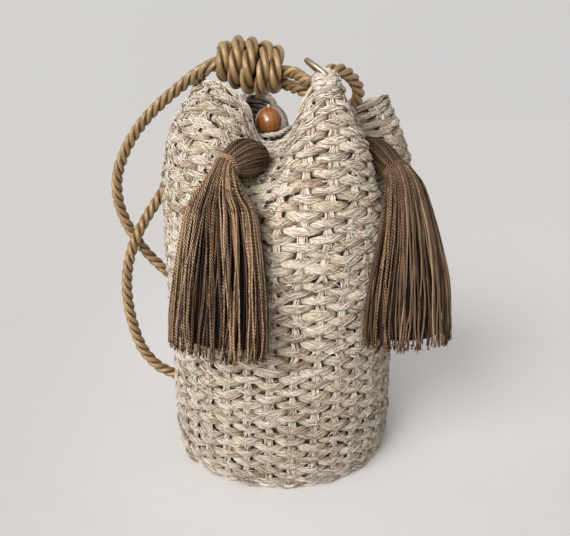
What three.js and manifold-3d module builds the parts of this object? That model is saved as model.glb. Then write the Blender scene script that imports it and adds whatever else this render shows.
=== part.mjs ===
// Straw backpack: a crocheted bucket with its mouth pinched into four lobes, a bead
// closure, two tassels, and a twisted cord that makes a knotted loop and both straps.
// Millimetres, +Z up, the front is -Y. Origin: centre of the base's underside.
import * as THREE from "three";
import { mergeVertices } from "three/addons/utils/BufferGeometryUtils.js";
import Module from "manifold-3d";

// ---- driving dimensions -------------------------------------------------------
const WALL = 5; // crochet thickness
const BASE = 5; // base thickness
const FOOT_R = 80; // flat part of the underside
const FOLD_Z = 150; // the wall is round up to here
const ROUND_R = 89.4; // radius that the lobes start from
const RIM_BEAD = 1.8; // rounding of the rim above the wall's edge
const AROUND = 72; // columns of the wall
const GAP = 0.4; // clearance between pieces

const CORD_D = 9; // satin cord
const STRAW_D = 4; // straw loop
const STEM_D = 3; // straw stem of the bead
const BEAD_D = 20;
const BORE_D = 4.4;
const BEAD_AT = [-9.6, -4, 256];
const RING_R = 15.5; // centre line of the ring
const RING_WIRE = 3.6;
const RING_AT = [28.8, -46, 285.6];
const RING_AXIS = [0.61, -0.04, 0.79];
const TAB_AT = [29, -56.6, 280]; // straw wrapped round the ring at the lobe's tip
const TAB_R = [9.6, 8, 9.4];
const KNOT_FROM = [-49.4, 1, 302.4]; // knot's axis, left end to right end
const KNOT_TO = [3.6, 1, 287.6];

// Round part of the wall.                 columns: z, r
const ROUND = [
  [0, FOOT_R],
  [1.4, 83],
  [5, 85],
  [12, 86],
  [40, 86.2],
  [80, 86.6],
  [118, 88.2],
];

// The rim, once round from the front-left dent. turn: bearing of that column of the
// wall from -Y towards +X; ease: how late the wall bends towards the rim; swell: how
// far it bulges on the way.               columns: turn, x, y, z, ease, swell
const RIM = [
  [-21, -14.5, -24, 243, 1.8, 0], // dent, front left
  [-5, 5.5, -34.5, 247, 2.6, 0],
  [10, 12.8, -48.5, 269, 4.0, 0],
  [27, 28.2, -56, 284, 4.8, 0], // front lobe
  [42, 42.6, -44, 271, 4.2, 0],
  [56, 41.5, -26.5, 255, 2.6, 0],
  [70, 25.5, -8.5, 246, 1.8, 0], // dent, right
  [80, 48.3, -6.9, 261, 2.8, 4],
  [90, 71, 0.4, 272, 4.6, 11],
  [102, 80, 15.5, 275, 5.0, 12], // right lobe
  [119, 65, 27, 272, 4.4, 6],
  [138, 41.5, 27, 261, 2.6, 1],
  [158, 9.5, 23.5, 245, 1.8, 0], // dent, back
  [173, 0.4, 40.7, 261, 2.6, 0],
  [188, -9.3, 52.8, 275, 4.0, 0],
  [204, -26, 58.5, 279, 4.6, 0], // back lobe
  [219, -33, 42.2, 274, 4.0, 0],
  [234, -31, 27, 260, 2.6, 0],
  [247, -21.5, 9.5, 246, 1.8, 0], // dent, left back
  [259, -38, 6.5, 260, 2.6, 0],
  [272, -50.5, -1.5, 276, 4.4, 0],
  [287, -56, -16.5, 283, 5.2, 0], // left lobe
  [305, -41.5, -27.5, 281.5, 4.6, 0],
  [323, -23.5, -29, 266.5, 2.8, 0],
];
// Rows of the wall from FOLD_Z (0) to the rim (1).
const RISE = [0.14, 0.28, 0.42, 0.55, 0.66, 0.76, 0.84, 0.91, 0.96, 1];

// Straps and cord loop, along their centre lines.   columns: x, y, z
const STRAP_LEFT = [
  [-53.6, 9.4, 296],
  [-61, 17.5, 288.5],
  [-69, 27, 269],
  [-79, 33, 243],
  [-88.5, 35, 221],
  [-97.8, 34.4, 200],
  [-112.3, 30, 177.5],
  [-121.1, 24, 160],
  [-127.7, 22, 138.7],
  [-130, 22, 116],
  [-126.9, 20, 91],
  [-118.4, 17, 67],
  [-105.5, 14.3, 52.8],
  [-96, 13, 48.2],
  [-88, 12, 45],
  [-75.5, 10.6, 40.1],
];
const STRAP_RIGHT = [
  [-54.6, -1, 293.3],
  [-61, 2.5, 290.4],
  [-71.6, 8, 283.9],
  [-86.3, 12, 273.3],
  [-101.4, 16, 260.8],
  [-114.8, 20, 246.4],
  [-126.4, 24, 228.4],
  [-133.6, 28, 209],
  [-134.1, 31, 190],
  [-130.1, 34, 173.5],
  [-123.2, 36.5, 158.6],
  [-112.2, 38, 143],
  [-99, 41, 128.5],
  [-91, 66, 113],
  [-70, 96, 100],
  [-36, 116, 88],
  [4, 125, 75],
  [31, 124.5, 66],
  [47, 118, 59.5],
  [53, 105, 53.5],
  [48.5, 92.5, 49],
  [43.4, 83, 46.4],
  [35, 67.25, 41.94],
];
const STRAP_EYE = [
  [8.8, -9.4, 289.4],
  [13.5, -20, 285.8],
  [20.4, -33.8, 281.2],
  [27.5, -42.6, 286.4],
  [36.5, -41.4, 289.4],
  [46.4, -33, 286],
  [53.6, -23, 277],
  [52.6, -14.5, 269],
  [45, -9.6, 265],
  [31, -8.6, 269.5],
  [16, -6.5, 277],
  [5, 5, 281.4],
];
const LOOP = [
  [11, 18.2, 240.5],
  [10.6, 16.2, 246.8],
  [7.4, 6, 251],
  [3.2, -5, 249.5],
  [-1.8, -10.3, 247],
  [-9.4, -12.4, 246],
  [-17, -8.6, 245.4],
  [-17, 1, 245.4],
  [-7, 10.5, 246],
  [2, 16.2, 246],
  [3.4, 20.2, 240.5],
];
const STEM = [
  [-9.6, -4, 267.4],
  [-9.6, -4, 256],
  [-9.6, -4, 246.5],
  [-9.6, -6, 242.4],
  [-10.6, -12.6, 239.9],
  [-13.8, -20.4, 239.3],
];

// Tassels, along their middles from the tucked end of the head to the cut ends.
//                                         columns: x, y, z, wide, deep
const TASSEL_LEFT = [
  [-14.2, -46.8, 232.8, 5.6, 5.6],
  [-16.2, -50.6, 233, 9.4, 9.4],
  [-20.4, -57.4, 233, 12.2, 12.2],
  [-25.4, -64.2, 232.6, 13, 13],
  [-30.2, -69, 231, 10.8, 10.8],
  [-34.6, -73.2, 228.4, 7.8, 7.8],
  [-36.4, -78.4, 225.4, 7.6, 6.6],
  [-37.6, -84.4, 218, 13.4, 9.2],
  [-38.4, -87, 204.6, 23, 13.8],
  [-38.6, -93, 185, 27.6, 15.2],
  [-39.4, -97.4, 162, 31.4, 16.2],
  [-41, -99, 133, 34.8, 17],
  [-42, -99.2, 113, 35, 17],
];
const TASSEL_RIGHT = [
  [52.6, -20.8, 239, 4.4, 4.4],
  [57.6, -24, 237.8, 8.4, 8.4],
  [64, -29, 235, 10.8, 10.4],
  [69.6, -35, 231.2, 10.8, 10.4],
  [74.2, -41.2, 227, 9.6, 9.4],
  [77.9, -46.6, 223, 8, 8],
  [80.6, -51, 218.6, 10, 8.8],
  [82.8, -55.4, 211.6, 14, 11.2],
  [84.2, -61, 197, 17.6, 13.6],
  [85.4, -67, 175, 22.8, 16],
  [86, -70.8, 151, 27.8, 18],
  [86.2, -72.6, 126, 30.4, 19.4],
  [86.6, -73, 109.5, 30.6, 20],
];
const SIDE_LEFT = [0.91, -0.41, 0]; // the tassels' wide directions
const SIDE_RIGHT = [0.97, 0.25, 0];
const NECK = 5; // row of the tassel tables with the tie
const TIE_R = 1.5;

// Knot's outline from its left end: five turns of cord.  columns: along, r
const KNOT = [
  [0, 0],
  [0, 8.5],
  [1.6, 12],
  [5.6, 15],
  [10.6, 15],
  [16, 18.4],
  [21.4, 17.8],
  [27, 20.2],
  [32.6, 19],
  [38, 20.6],
  [43.6, 18.8],
  [49, 18.6],
  [53, 14.6],
  [54.4, 9.5],
  [54.4, 0],
];
// Stop knots inside the wall, from the wall inwards.      columns: along, r
const STOP = [
  [0, 0],
  [0, 7.5],
  [2.5, 9.6],
  [6.5, 10.4],
  [10.5, 9.6],
  [13, 6.5],
  [13.6, 0],
];

// ---- helpers --------------------------------------------------------------------
const wasm = await Module();
wasm.setup();
const vec = (a) => new THREE.Vector3(a[0], a[1], a[2]);

function toSolid(geometry) {
  const g = geometry.clone();
  for (const name of Object.keys(g.attributes))
    if (name !== "position") g.deleteAttribute(name);
  const m = mergeVertices(g, 1e-3);
  return new wasm.Manifold(
    new wasm.Mesh({
      numProp: 3,
      vertProperties: new Float32Array(m.attributes.position.array),
      triVerts: new Uint32Array(m.index.array),
    }),
  );
}

function toGeometry(solid) {
  const m = solid.getMesh();
  const g = new THREE.BufferGeometry();
  const p = new Float32Array((m.vertProperties.length / m.numProp) * 3);
  for (let i = 0; i < p.length / 3; i++)
    for (let k = 0; k < 3; k++) p[3 * i + k] = m.vertProperties[m.numProp * i + k];
  g.setAttribute("position", new THREE.BufferAttribute(p, 3));
  g.setIndex(Array.from(m.triVerts));
  g.computeVertexNormals();
  return g;
}

// A closed skin over rings of equal count, with a fan at each end.
function skin(rings, first, last) {
  const n = rings[0].length;
  const points = [first, ...rings.flat(), last];
  const at = (i, j) => 1 + i * n + (j % n);
  const faces = [];
  for (let j = 0; j < n; j++) faces.push(0, at(0, j + 1), at(0, j));
  for (let i = 0; i + 1 < rings.length; i++)
    for (let j = 0; j < n; j++) {
      faces.push(at(i, j), at(i, j + 1), at(i + 1, j));
      faces.push(at(i, j + 1), at(i + 1, j + 1), at(i + 1, j));
    }
  const end = rings.length - 1;
  for (let j = 0; j < n; j++) faces.push(points.length - 1, at(end, j), at(end, j + 1));
  let volume = 0;
  for (let k = 0; k < faces.length; k += 3) {
    const [a, b, c] = [points[faces[k]], points[faces[k + 1]], points[faces[k + 2]]];
    volume += a.dot(b.clone().cross(c));
  }
  if (volume < 0)
    for (let k = 0; k < faces.length; k += 3)
      [faces[k + 1], faces[k + 2]] = [faces[k + 2], faces[k + 1]];
  const g = new THREE.BufferGeometry().setFromPoints(points);
  g.setIndex(faces);
  g.computeVertexNormals();
  return g;
}

// A round cord along points.
function cord(points, diameter, steps, sides) {
  const section = new THREE.Shape();
  section.absarc(0, 0, diameter / 2, 0, 2 * Math.PI, false);
  return new THREE.ExtrudeGeometry(section, {
    steps,
    curveSegments: sides,
    bevelEnabled: false,
    extrudePath: new THREE.CatmullRomCurve3(points.map(vec), false, "centripetal"),
  });
}

// A turned piece whose profile runs along `to - from`.
function turned(profile, from, to, sides) {
  const axis = vec(to).sub(vec(from)).normalize();
  const g = new THREE.LatheGeometry(
    profile.map(([along, r]) => new THREE.Vector2(r, along)),
    sides,
  );
  g.applyQuaternion(new THREE.Quaternion().setFromUnitVectors(new THREE.Vector3(0, 1, 0), axis));
  g.translate(from[0], from[1], from[2]);
  return g;
}

// ---- the crocheted body -----------------------------------------------------------
// Rim table at place t, 0 to its number of rows, by a closed cubic through its rows.
function rimAt(t) {
  const n = RIM.length;
  const row = (i) => {
    const turns = Math.floor(i / n);
    const r = RIM[i - turns * n];
    return [r[0] + 360 * turns, ...r.slice(1)];
  };
  const i = Math.floor(t),
    f = t - i;
  const [a, b, c, d] = [row(i - 1), row(i), row(i + 1), row(i + 2)];
  return b.map(
    (_, k) =>
      b[k] +
      0.5 * f * (c[k] - a[k] + f * (2 * a[k] - 5 * b[k] + 4 * c[k] - d[k] + f * (3 * (b[k] - c[k]) + d[k] - a[k]))),
  );
}

// Outer face of the wall above FOLD_Z: t round the rim, u from 0 to 1 up to it.
function foldAt(t, u) {
  const [turn, x, y, z, ease, swell] = rimAt(t);
  const a = THREE.MathUtils.degToRad(turn);
  const w = Math.pow(Math.max(u, 0), ease);
  const r = 88.8 + (ROUND_R - 88.8) * Math.min(1, 3 * u) + swell * Math.sin(Math.PI * Math.min(u, 1));
  return new THREE.Vector3(
    r * Math.sin(a) * (1 - w) + x * w,
    -r * Math.cos(a) * (1 - w) + y * w,
    FOLD_Z + (z - FOLD_Z) * u,
  );
}

function foldNormal(t, u) {
  const e = 0.02;
  const along = foldAt(t + e, u).sub(foldAt(t - e, u));
  const up = foldAt(t, u + e / 2).sub(foldAt(t, Math.max(u - e / 2, 0)));
  return along.cross(up).normalize(); // out of the bag
}

function bodyGeometry() {
  const columns = Array.from({ length: AROUND }, (_, j) => (j / AROUND) * RIM.length);
  const bearing = (t) => THREE.MathUtils.degToRad(rimAt(t)[0]);
  const round = (r, z) =>
    columns.map((t) => new THREE.Vector3(r * Math.sin(bearing(t)), -r * Math.cos(bearing(t)), z));
  const outer = [
    ...ROUND.map(([z, r]) => round(r, z)),
    round(88.8, FOLD_Z),
    ...RISE.map((u) => columns.map((t) => foldAt(t, u))),
  ];
  const rim = columns.map((t) =>
    foldAt(t, 1)
      .addScaledVector(foldNormal(t, 1), -WALL / 2)
      .add(new THREE.Vector3(0, 0, RIM_BEAD)),
  );
  const inner = [
    ...RISE.filter((_, i) => i % 2 === 1 || i > 5)
      .reverse()
      .map((u) => columns.map((t) => foldAt(t, u).addScaledVector(foldNormal(t, u), -WALL))),
    round(88.8 - WALL, FOLD_Z),
    round(86.6 - WALL, 80),
    round(86 - WALL, 14),
    round(83.4 - WALL, BASE + 2),
    round(FOOT_R - 2, BASE),
  ];
  return skin([...outer, rim, ...inner], new THREE.Vector3(0, 0, 0), new THREE.Vector3(0, 0, BASE));
}

// A straight hole for a strap's end, along the last two rows of its table.
function strapHole(path) {
  const [a, b] = [vec(path[path.length - 3]), vec(path[path.length - 1])];
  const g = new THREE.CylinderGeometry(CORD_D / 2 + GAP, CORD_D / 2 + GAP, 60, 16);
  g.applyQuaternion(
    new THREE.Quaternion().setFromUnitVectors(new THREE.Vector3(0, 1, 0), b.clone().sub(a).normalize()),
  );
  const mid = a.clone().lerp(b, 0.5);
  g.translate(mid.x, mid.y, mid.z);
  return g;
}

function ringGeometry(wire, sides, turns) {
  const g = new THREE.TorusGeometry(RING_R, wire / 2, sides, turns);
  g.applyQuaternion(
    new THREE.Quaternion().setFromUnitVectors(new THREE.Vector3(0, 0, 1), vec(RING_AXIS).normalize()),
  );
  g.translate(...RING_AT);
  return g;
}

const tab = new THREE.SphereGeometry(1, 14, 10);
tab.scale(...TAB_R);
tab.translate(...TAB_AT);
const body = toGeometry(
  toSolid(bodyGeometry())
    .add(toSolid(tab))
    .subtract(toSolid(ringGeometry(RING_WIRE + 2 * GAP, 8, 32)))
    .subtract(toSolid(strapHole(STRAP_LEFT)))
    .subtract(toSolid(strapHole(STRAP_RIGHT))),
);

// ---- tassels ------------------------------------------------------------------------
const TASSEL_SIDES = 20;
function tasselFrame(table, side, i) {
  const p = vec(table[i]);
  const t = vec(table[Math.min(i + 1, table.length - 1)])
    .sub(vec(table[Math.max(i - 1, 0)]))
    .normalize();
  const w = vec(side).addScaledVector(t, -vec(side).dot(t)).normalize();
  return { p, t, w, d: t.clone().cross(w) };
}
function tasselGeometry(table, side) {
  const rings = table.map(([, , , wide, deep], i) => {
    const { p, w, d } = tasselFrame(table, side, i);
    return Array.from({ length: TASSEL_SIDES }, (_, j) => {
      const a = (2 * Math.PI * j) / TASSEL_SIDES;
      return p
        .clone()
        .addScaledVector(w, wide * Math.cos(a))
        .addScaledVector(d, deep * Math.sin(a));
    });
  });
  return skin(rings, vec(table[0]), vec(table[table.length - 1]));
}
// The tie lies round the neck, just clear of the yarn.
function tieGeometry(table, side) {
  const { p, t } = tasselFrame(table, side, NECK);
  const g = new THREE.TorusGeometry(table[NECK][3] + TIE_R + 1.8, TIE_R, 6, 18);
  g.applyQuaternion(new THREE.Quaternion().setFromUnitVectors(new THREE.Vector3(0, 0, 1), t));
  g.translate(p.x, p.y, p.z);
  return g;
}

// ---- bead: a ball with a straight bore ------------------------------------------------
function beadGeometry() {
  const r = BEAD_D / 2,
    b = BORE_D / 2;
  const profile = [];
  const from = Math.asin(b / r);
  for (let i = 0; i <= 10; i++) {
    const a = from + ((Math.PI - 2 * from) * i) / 10;
    profile.push([-r * Math.cos(a), r * Math.sin(a)]);
  }
  profile.push([...profile[0]]);
  return turned(profile, BEAD_AT, [BEAD_AT[0], BEAD_AT[1], BEAD_AT[2] + 1], 20);
}

// ---- stop knots ------------------------------------------------------------------------
function stopGeometry(path) {
  const [a, b] = [vec(path[path.length - 2]), vec(path[path.length - 1])];
  const along = b.clone().sub(a).normalize();
  const from = b.clone().addScaledVector(along, GAP);
  return turned(STOP, from.toArray(), from.clone().add(along).toArray(), 16);
}

// ---- the whole --------------------------------------------------------------------------
const group = new THREE.Group();
function add(name, geometry, color, roughness, metalness = 0) {
  const mesh = new THREE.Mesh(geometry, new THREE.MeshStandardMaterial({ color, roughness, metalness }));
  mesh.name = name;
  group.add(mesh);
}
const STRAW = 0xcdc2ae,
  SATIN = 0x96784b,
  YARN = 0x7d6450;
add("bag_body", body, STRAW, 0.85);
add("closure_bead", beadGeometry(), 0x96502a, 0.25);
add("bead_stem", cord(STEM, STEM_D, 7, 4), STRAW, 0.85);
add("bead_loop", cord(LOOP, STRAW_D, 16, 4), STRAW, 0.85);
add("lobe_ring", ringGeometry(RING_WIRE, 8, 32), 0xbea57d, 0.3, 1);
add("strap_eye", cord(STRAP_EYE, CORD_D, 15, 5), SATIN, 0.45);
add("strap_knot", turned(KNOT, KNOT_FROM, KNOT_TO, 20), SATIN, 0.45);
add("strap_left", cord(STRAP_LEFT, CORD_D, 20, 5), SATIN, 0.45);
add("strap_right", cord(STRAP_RIGHT, CORD_D, 28, 5), SATIN, 0.45);
add("strap_left_stop", stopGeometry(STRAP_LEFT), SATIN, 0.45);
add("strap_right_stop", stopGeometry(STRAP_RIGHT), SATIN, 0.45);
add("tassel_left", tasselGeometry(TASSEL_LEFT, SIDE_LEFT), YARN, 0.9);
add("tassel_left_tie", tieGeometry(TASSEL_LEFT, SIDE_LEFT), YARN, 0.9);
add("tassel_right", tasselGeometry(TASSEL_RIGHT, SIDE_RIGHT), YARN, 0.9);
add("tassel_right_tie", tieGeometry(TASSEL_RIGHT, SIDE_RIGHT), YARN, 0.9);

export default group;
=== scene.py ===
import math

import bpy
import numpy as np
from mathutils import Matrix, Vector


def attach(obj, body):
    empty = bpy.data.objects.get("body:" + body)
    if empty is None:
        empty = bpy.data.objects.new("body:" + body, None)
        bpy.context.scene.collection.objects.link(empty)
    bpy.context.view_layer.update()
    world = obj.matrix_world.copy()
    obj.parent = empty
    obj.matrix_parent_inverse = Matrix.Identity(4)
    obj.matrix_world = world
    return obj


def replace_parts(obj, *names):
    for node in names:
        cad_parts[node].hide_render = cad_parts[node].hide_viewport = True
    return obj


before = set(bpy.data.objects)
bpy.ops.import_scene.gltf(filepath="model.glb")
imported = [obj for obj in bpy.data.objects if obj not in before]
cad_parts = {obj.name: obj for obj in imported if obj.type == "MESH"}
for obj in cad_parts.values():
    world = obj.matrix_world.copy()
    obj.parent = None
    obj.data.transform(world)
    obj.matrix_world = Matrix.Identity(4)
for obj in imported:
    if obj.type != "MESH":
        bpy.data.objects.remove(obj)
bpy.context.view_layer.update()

RNG = np.random.default_rng(20)
TAU = 2 * math.pi

# =====================================================================================
# Sizes of the bag, in millimetres, as in the part
# =====================================================================================
WALL = 5.0
FOLD_Z, FOLD_R, ROUND_R = 150.0, 88.8, 89.4
CORD_D, STRAW_D, STEM_D = 9.0, 4.0, 3.0
BEAD_D, BORE_D, BEAD_AT = 20.0, 4.4, (-9.6, -4.0, 256.0)
RING_R, RING_WIRE = 15.5, 3.6
RING_AT, RING_AXIS = (28.8, -46.0, 285.6), (0.61, -0.04, 0.79)
TAB_AT, TAB_R = (29.0, -56.6, 280.0), (9.6, 8.0, 9.4)
KNOT_FROM, KNOT_TO = (-49.4, 1.0, 302.4), (3.6, 1.0, 287.6)
NECK = 5

ROUND = np.array([  # z, r
    [0, 77.6], [1.4, 80.8], [5, 83.2], [12, 85.2], [24, 86], [40, 86.2], [80, 86.6], [118, 88.2], [150, 88.8],
], float)
RIM = np.array([  # turn, x, y, z, ease, swell
    [-21, -14.5, -24, 243, 1.8, 0], [-5, 5.5, -34.5, 247, 2.6, 0], [10, 12.8, -48.5, 269, 4, 0],
    [27, 28.2, -56, 284, 4.8, 0], [42, 42.6, -44, 271, 4.2, 0], [56, 41.5, -26.5, 255, 2.6, 0],
    [70, 25.5, -8.5, 246, 1.8, 0], [80, 48.3, -6.9, 261, 2.8, 4], [90, 71, 0.4, 272, 4.6, 11],
    [102, 80, 15.5, 275, 5, 12], [119, 65, 27, 272, 4.4, 6], [138, 41.5, 27, 261, 2.6, 1],
    [158, 9.5, 23.5, 245, 1.8, 0], [173, 0.4, 40.7, 261, 2.6, 0], [188, -9.3, 52.8, 275, 4, 0],
    [204, -26, 58.5, 279, 4.6, 0], [219, -33, 42.2, 274, 4, 0], [234, -31, 27, 260, 2.6, 0],
    [247, -21.5, 9.5, 246, 1.8, 0], [259, -38, 6.5, 260, 2.6, 0], [272, -50.5, -1.5, 276, 4.4, 0],
    [287, -56, -16.5, 283, 5.2, 0], [305, -41.5, -27.5, 281.5, 4.6, 0], [323, -23.5, -29, 266.5, 2.8, 0],
], float)
STRAP_LEFT = [
    [-53.6, 9.4, 296], [-61, 17.5, 288.5], [-69, 27, 269], [-79, 33, 243], [-88.5, 35, 221],
    [-97.8, 34.4, 200], [-112.3, 30, 177.5], [-121.1, 24, 160], [-127.7, 22, 138.7], [-130, 22, 116],
    [-126.9, 20, 91], [-118.4, 17, 67], [-105.5, 14.3, 52.8], [-96, 13, 48.2], [-88, 12, 45],
    [-75.5, 10.6, 40.1],
]
STRAP_RIGHT = [
    [-54.6, -1, 293.3], [-61, 2.5, 290.4], [-71.6, 8, 283.9], [-86.3, 12, 273.3], [-101.4, 16, 260.8],
    [-114.8, 20, 246.4], [-126.4, 24, 228.4], [-133.6, 28, 209], [-134.1, 31, 190], [-130.1, 34, 173.5],
    [-123.2, 36.5, 158.6], [-112.2, 38, 143], [-99, 41, 128.5], [-91, 66, 113], [-70, 96, 100],
    [-36, 116, 88], [4, 125, 75], [31, 124.5, 66], [47, 118, 59.5], [53, 105, 53.5],
    [48.5, 92.5, 49], [43.4, 83, 46.4], [35, 67.25, 41.94],
]
STRAP_EYE = [
    [8.8, -9.4, 289.4], [13.5, -20, 285.8], [20.4, -33.8, 281.2], [27.5, -42.6, 286.4], [36.5, -41.4, 289.4],
    [46.4, -33, 286], [53.6, -23, 277], [52.6, -14.5, 269], [45, -9.6, 265], [31, -8.6, 269.5],
    [16, -6.5, 277], [5, 5, 281.4],
]
LOOP = [
    [11, 18.2, 240.5], [10.6, 16.2, 246.8], [7.4, 6, 251], [3.2, -5, 249.5], [-1.8, -10.3, 247],
    [-9.4, -12.4, 246], [-17, -8.6, 245.4], [-17, 1, 245.4], [-7, 10.5, 246], [2, 16.2, 246],
    [3.4, 20.2, 240.5],
]
STEM = [
    [-9.6, -4, 267.4], [-9.6, -4, 256], [-9.6, -4, 246.5], [-9.6, -6, 242.4], [-10.6, -12.6, 239.9],
    [-13.8, -20.4, 239.3],
]
TASSEL_LEFT = np.array([  # x, y, z, half width, half depth
    [-14.2, -46.8, 232.8, 5.6, 5.6], [-16.2, -50.6, 233, 9.4, 9.4], [-20.4, -57.4, 233, 12.2, 12.2],
    [-25.4, -64.2, 232.6, 13, 13], [-30.2, -69, 231, 10.8, 10.8], [-34.6, -73.2, 228.4, 7.8, 7.8],
    [-36.4, -78.4, 225.4, 7.6, 6.6], [-37.6, -84.4, 218, 13.4, 9.2], [-38.4, -87, 204.6, 23, 13.8],
    [-38.6, -93, 185, 27.6, 15.2], [-39.4, -97.4, 162, 31.4, 16.2], [-41, -99, 133, 34.8, 17],
    [-42, -99.2, 113, 35, 17],
])
TASSEL_RIGHT = np.array([
    [52.6, -20.8, 239, 4.4, 4.4], [57.6, -24, 237.8, 8.4, 8.4], [64, -29, 235, 10.8, 10.4],
    [69.6, -35, 231.2, 10.8, 10.4], [74.2, -41.2, 227, 9.6, 9.4], [77.9, -46.6, 223, 8, 8],
    [80.6, -51, 218.6, 10, 8.8], [82.8, -55.4, 211.6, 14, 11.2], [84.2, -61, 197, 17.6, 13.6],
    [85.4, -67, 175, 22.8, 16], [86, -70.8, 151, 27.8, 18], [86.2, -72.6, 126, 30.4, 19.4],
    [86.6, -73, 109.5, 30.6, 20],
])
SIDE_LEFT, SIDE_RIGHT = (0.91, -0.41, 0), (0.97, 0.25, 0)

# Stitches: columns round the bag, rows from the foot to the fold and from the fold to the rim
COLUMNS, ROWS_LOW, ROWS_TOP = 34, 31, 27
ROWS = ROWS_LOW + ROWS_TOP
PHASE = 3.7  # degrees, where column 0 stands
SLANT = ([0, 31, 58], [0, 3.0, 12.0])  # row, degrees that the columns have drifted there
RIDGE = 27.0  # turn of the front lobe's ridge

# =====================================================================================
# Camera, first, as the cords are measured in its view
# =====================================================================================
cam_data = bpy.data.cameras.new("camera")
cam_data.sensor_width = 36.0
cam_data.lens = 600 * 36 / 570
cam_data.clip_start, cam_data.clip_end = 0.02, 60
cam = bpy.data.objects.new("camera", cam_data)
cam.location = (0.0023, -0.46, 0.2625)
cam.rotation_euler = (math.radians(90 - 14.6), 0, 0)
bpy.context.scene.collection.objects.link(cam)
bpy.context.scene.camera = cam


# =====================================================================================
# Geometry helpers (all lengths in millimetres until a piece is made)
# =====================================================================================
def unit(v):
    return v / np.maximum(np.linalg.norm(v, axis=-1, keepdims=True), 1e-12)


def curve(points, step):
    """Points step apart along a centripetal cubic through points."""
    p = np.array(points, float)
    p = np.vstack([2 * p[0] - p[1], p, 2 * p[-1] - p[-2]])
    out = []
    for i in range(1, len(p) - 2):
        p0, p1, p2, p3 = p[i - 1:i + 3]
        d0, d1, d2 = (max(np.sqrt(np.linalg.norm(b - a)), 1e-6) for a, b in ((p0, p1), (p1, p2), (p2, p3)))
        m1 = ((p1 - p0) / d0 - (p2 - p0) / (d0 + d1) + (p2 - p1) / d1) * d1
        m2 = ((p2 - p1) / d1 - (p3 - p1) / (d1 + d2) + (p3 - p2) / d2) * d1
        f = np.linspace(0, 1, 41)[:-1, None]
        out.append(p1 + m1 * f + (-3 * p1 + 3 * p2 - 2 * m1 - m2) * f ** 2 + (2 * p1 - 2 * p2 + m1 + m2) * f ** 3)
    out.append(p[-2][None])
    return even(np.vstack(out), step)


def even(path, step):
    """A polyline again, with its points step apart."""
    s = np.r_[0, np.cumsum(np.linalg.norm(np.diff(path, axis=0), axis=1))]
    n = max(2, int(round(s[-1] / step)) + 1)
    q = np.linspace(0, s[-1], n)
    return np.stack([np.interp(q, s, path[:, k]) for k in range(path.shape[1])], 1)


def table_at(table, q):
    """Rows of a table at places q by a cubic through them."""
    n = len(table)
    i = np.clip(np.floor(q).astype(int), 0, n - 2)
    f = (q - i)[..., None]
    row = lambda k: table[np.clip(k, 0, n - 1)]
    a, b, c, d = row(i - 1), row(i), row(i + 1), row(i + 2)
    return b + 0.5 * f * (c - a + f * (2 * a - 5 * b + 4 * c - d + f * (3 * (b - c) + d - a)))


def carried(paths, first=(0.0, 0.0, 1.0)):
    """Tangents and a frame carried along each of the paths, (K, R, 3)."""
    t = unit(np.gradient(paths, axis=1))
    n = np.empty_like(t)
    v = np.broadcast_to(np.array(first, float), t[:, 0].shape).copy()
    flat = np.abs((v * t[:, 0]).sum(-1)) > 0.9
    v[flat] = (0.3, 0.9, 0.1)
    for i in range(t.shape[1]):
        v = unit(v - t[:, i] * (v * t[:, i]).sum(-1, keepdims=True))
        n[:, i] = v
    return t, n, np.cross(t, n)


def sweep(paths, radius, sides, shape=None, turn=None):
    """Tubes (K, R, sides, 3) along paths. radius (K, R), shape (K, R, sides) and turn (K, R) are optional fields."""
    k, r, _ = paths.shape
    _, n, b = carried(paths)
    ang = TAU * np.arange(sides)[None, None] / sides + (0 if turn is None else turn[..., None])
    rad = np.broadcast_to(np.asarray(radius, float), (k, r))[..., None] * (1 if shape is None else shape)
    return paths[:, :, None] + (rad * np.cos(ang))[..., None] * n[:, :, None] + (rad * np.sin(ang))[..., None] * b[:, :, None]


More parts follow.
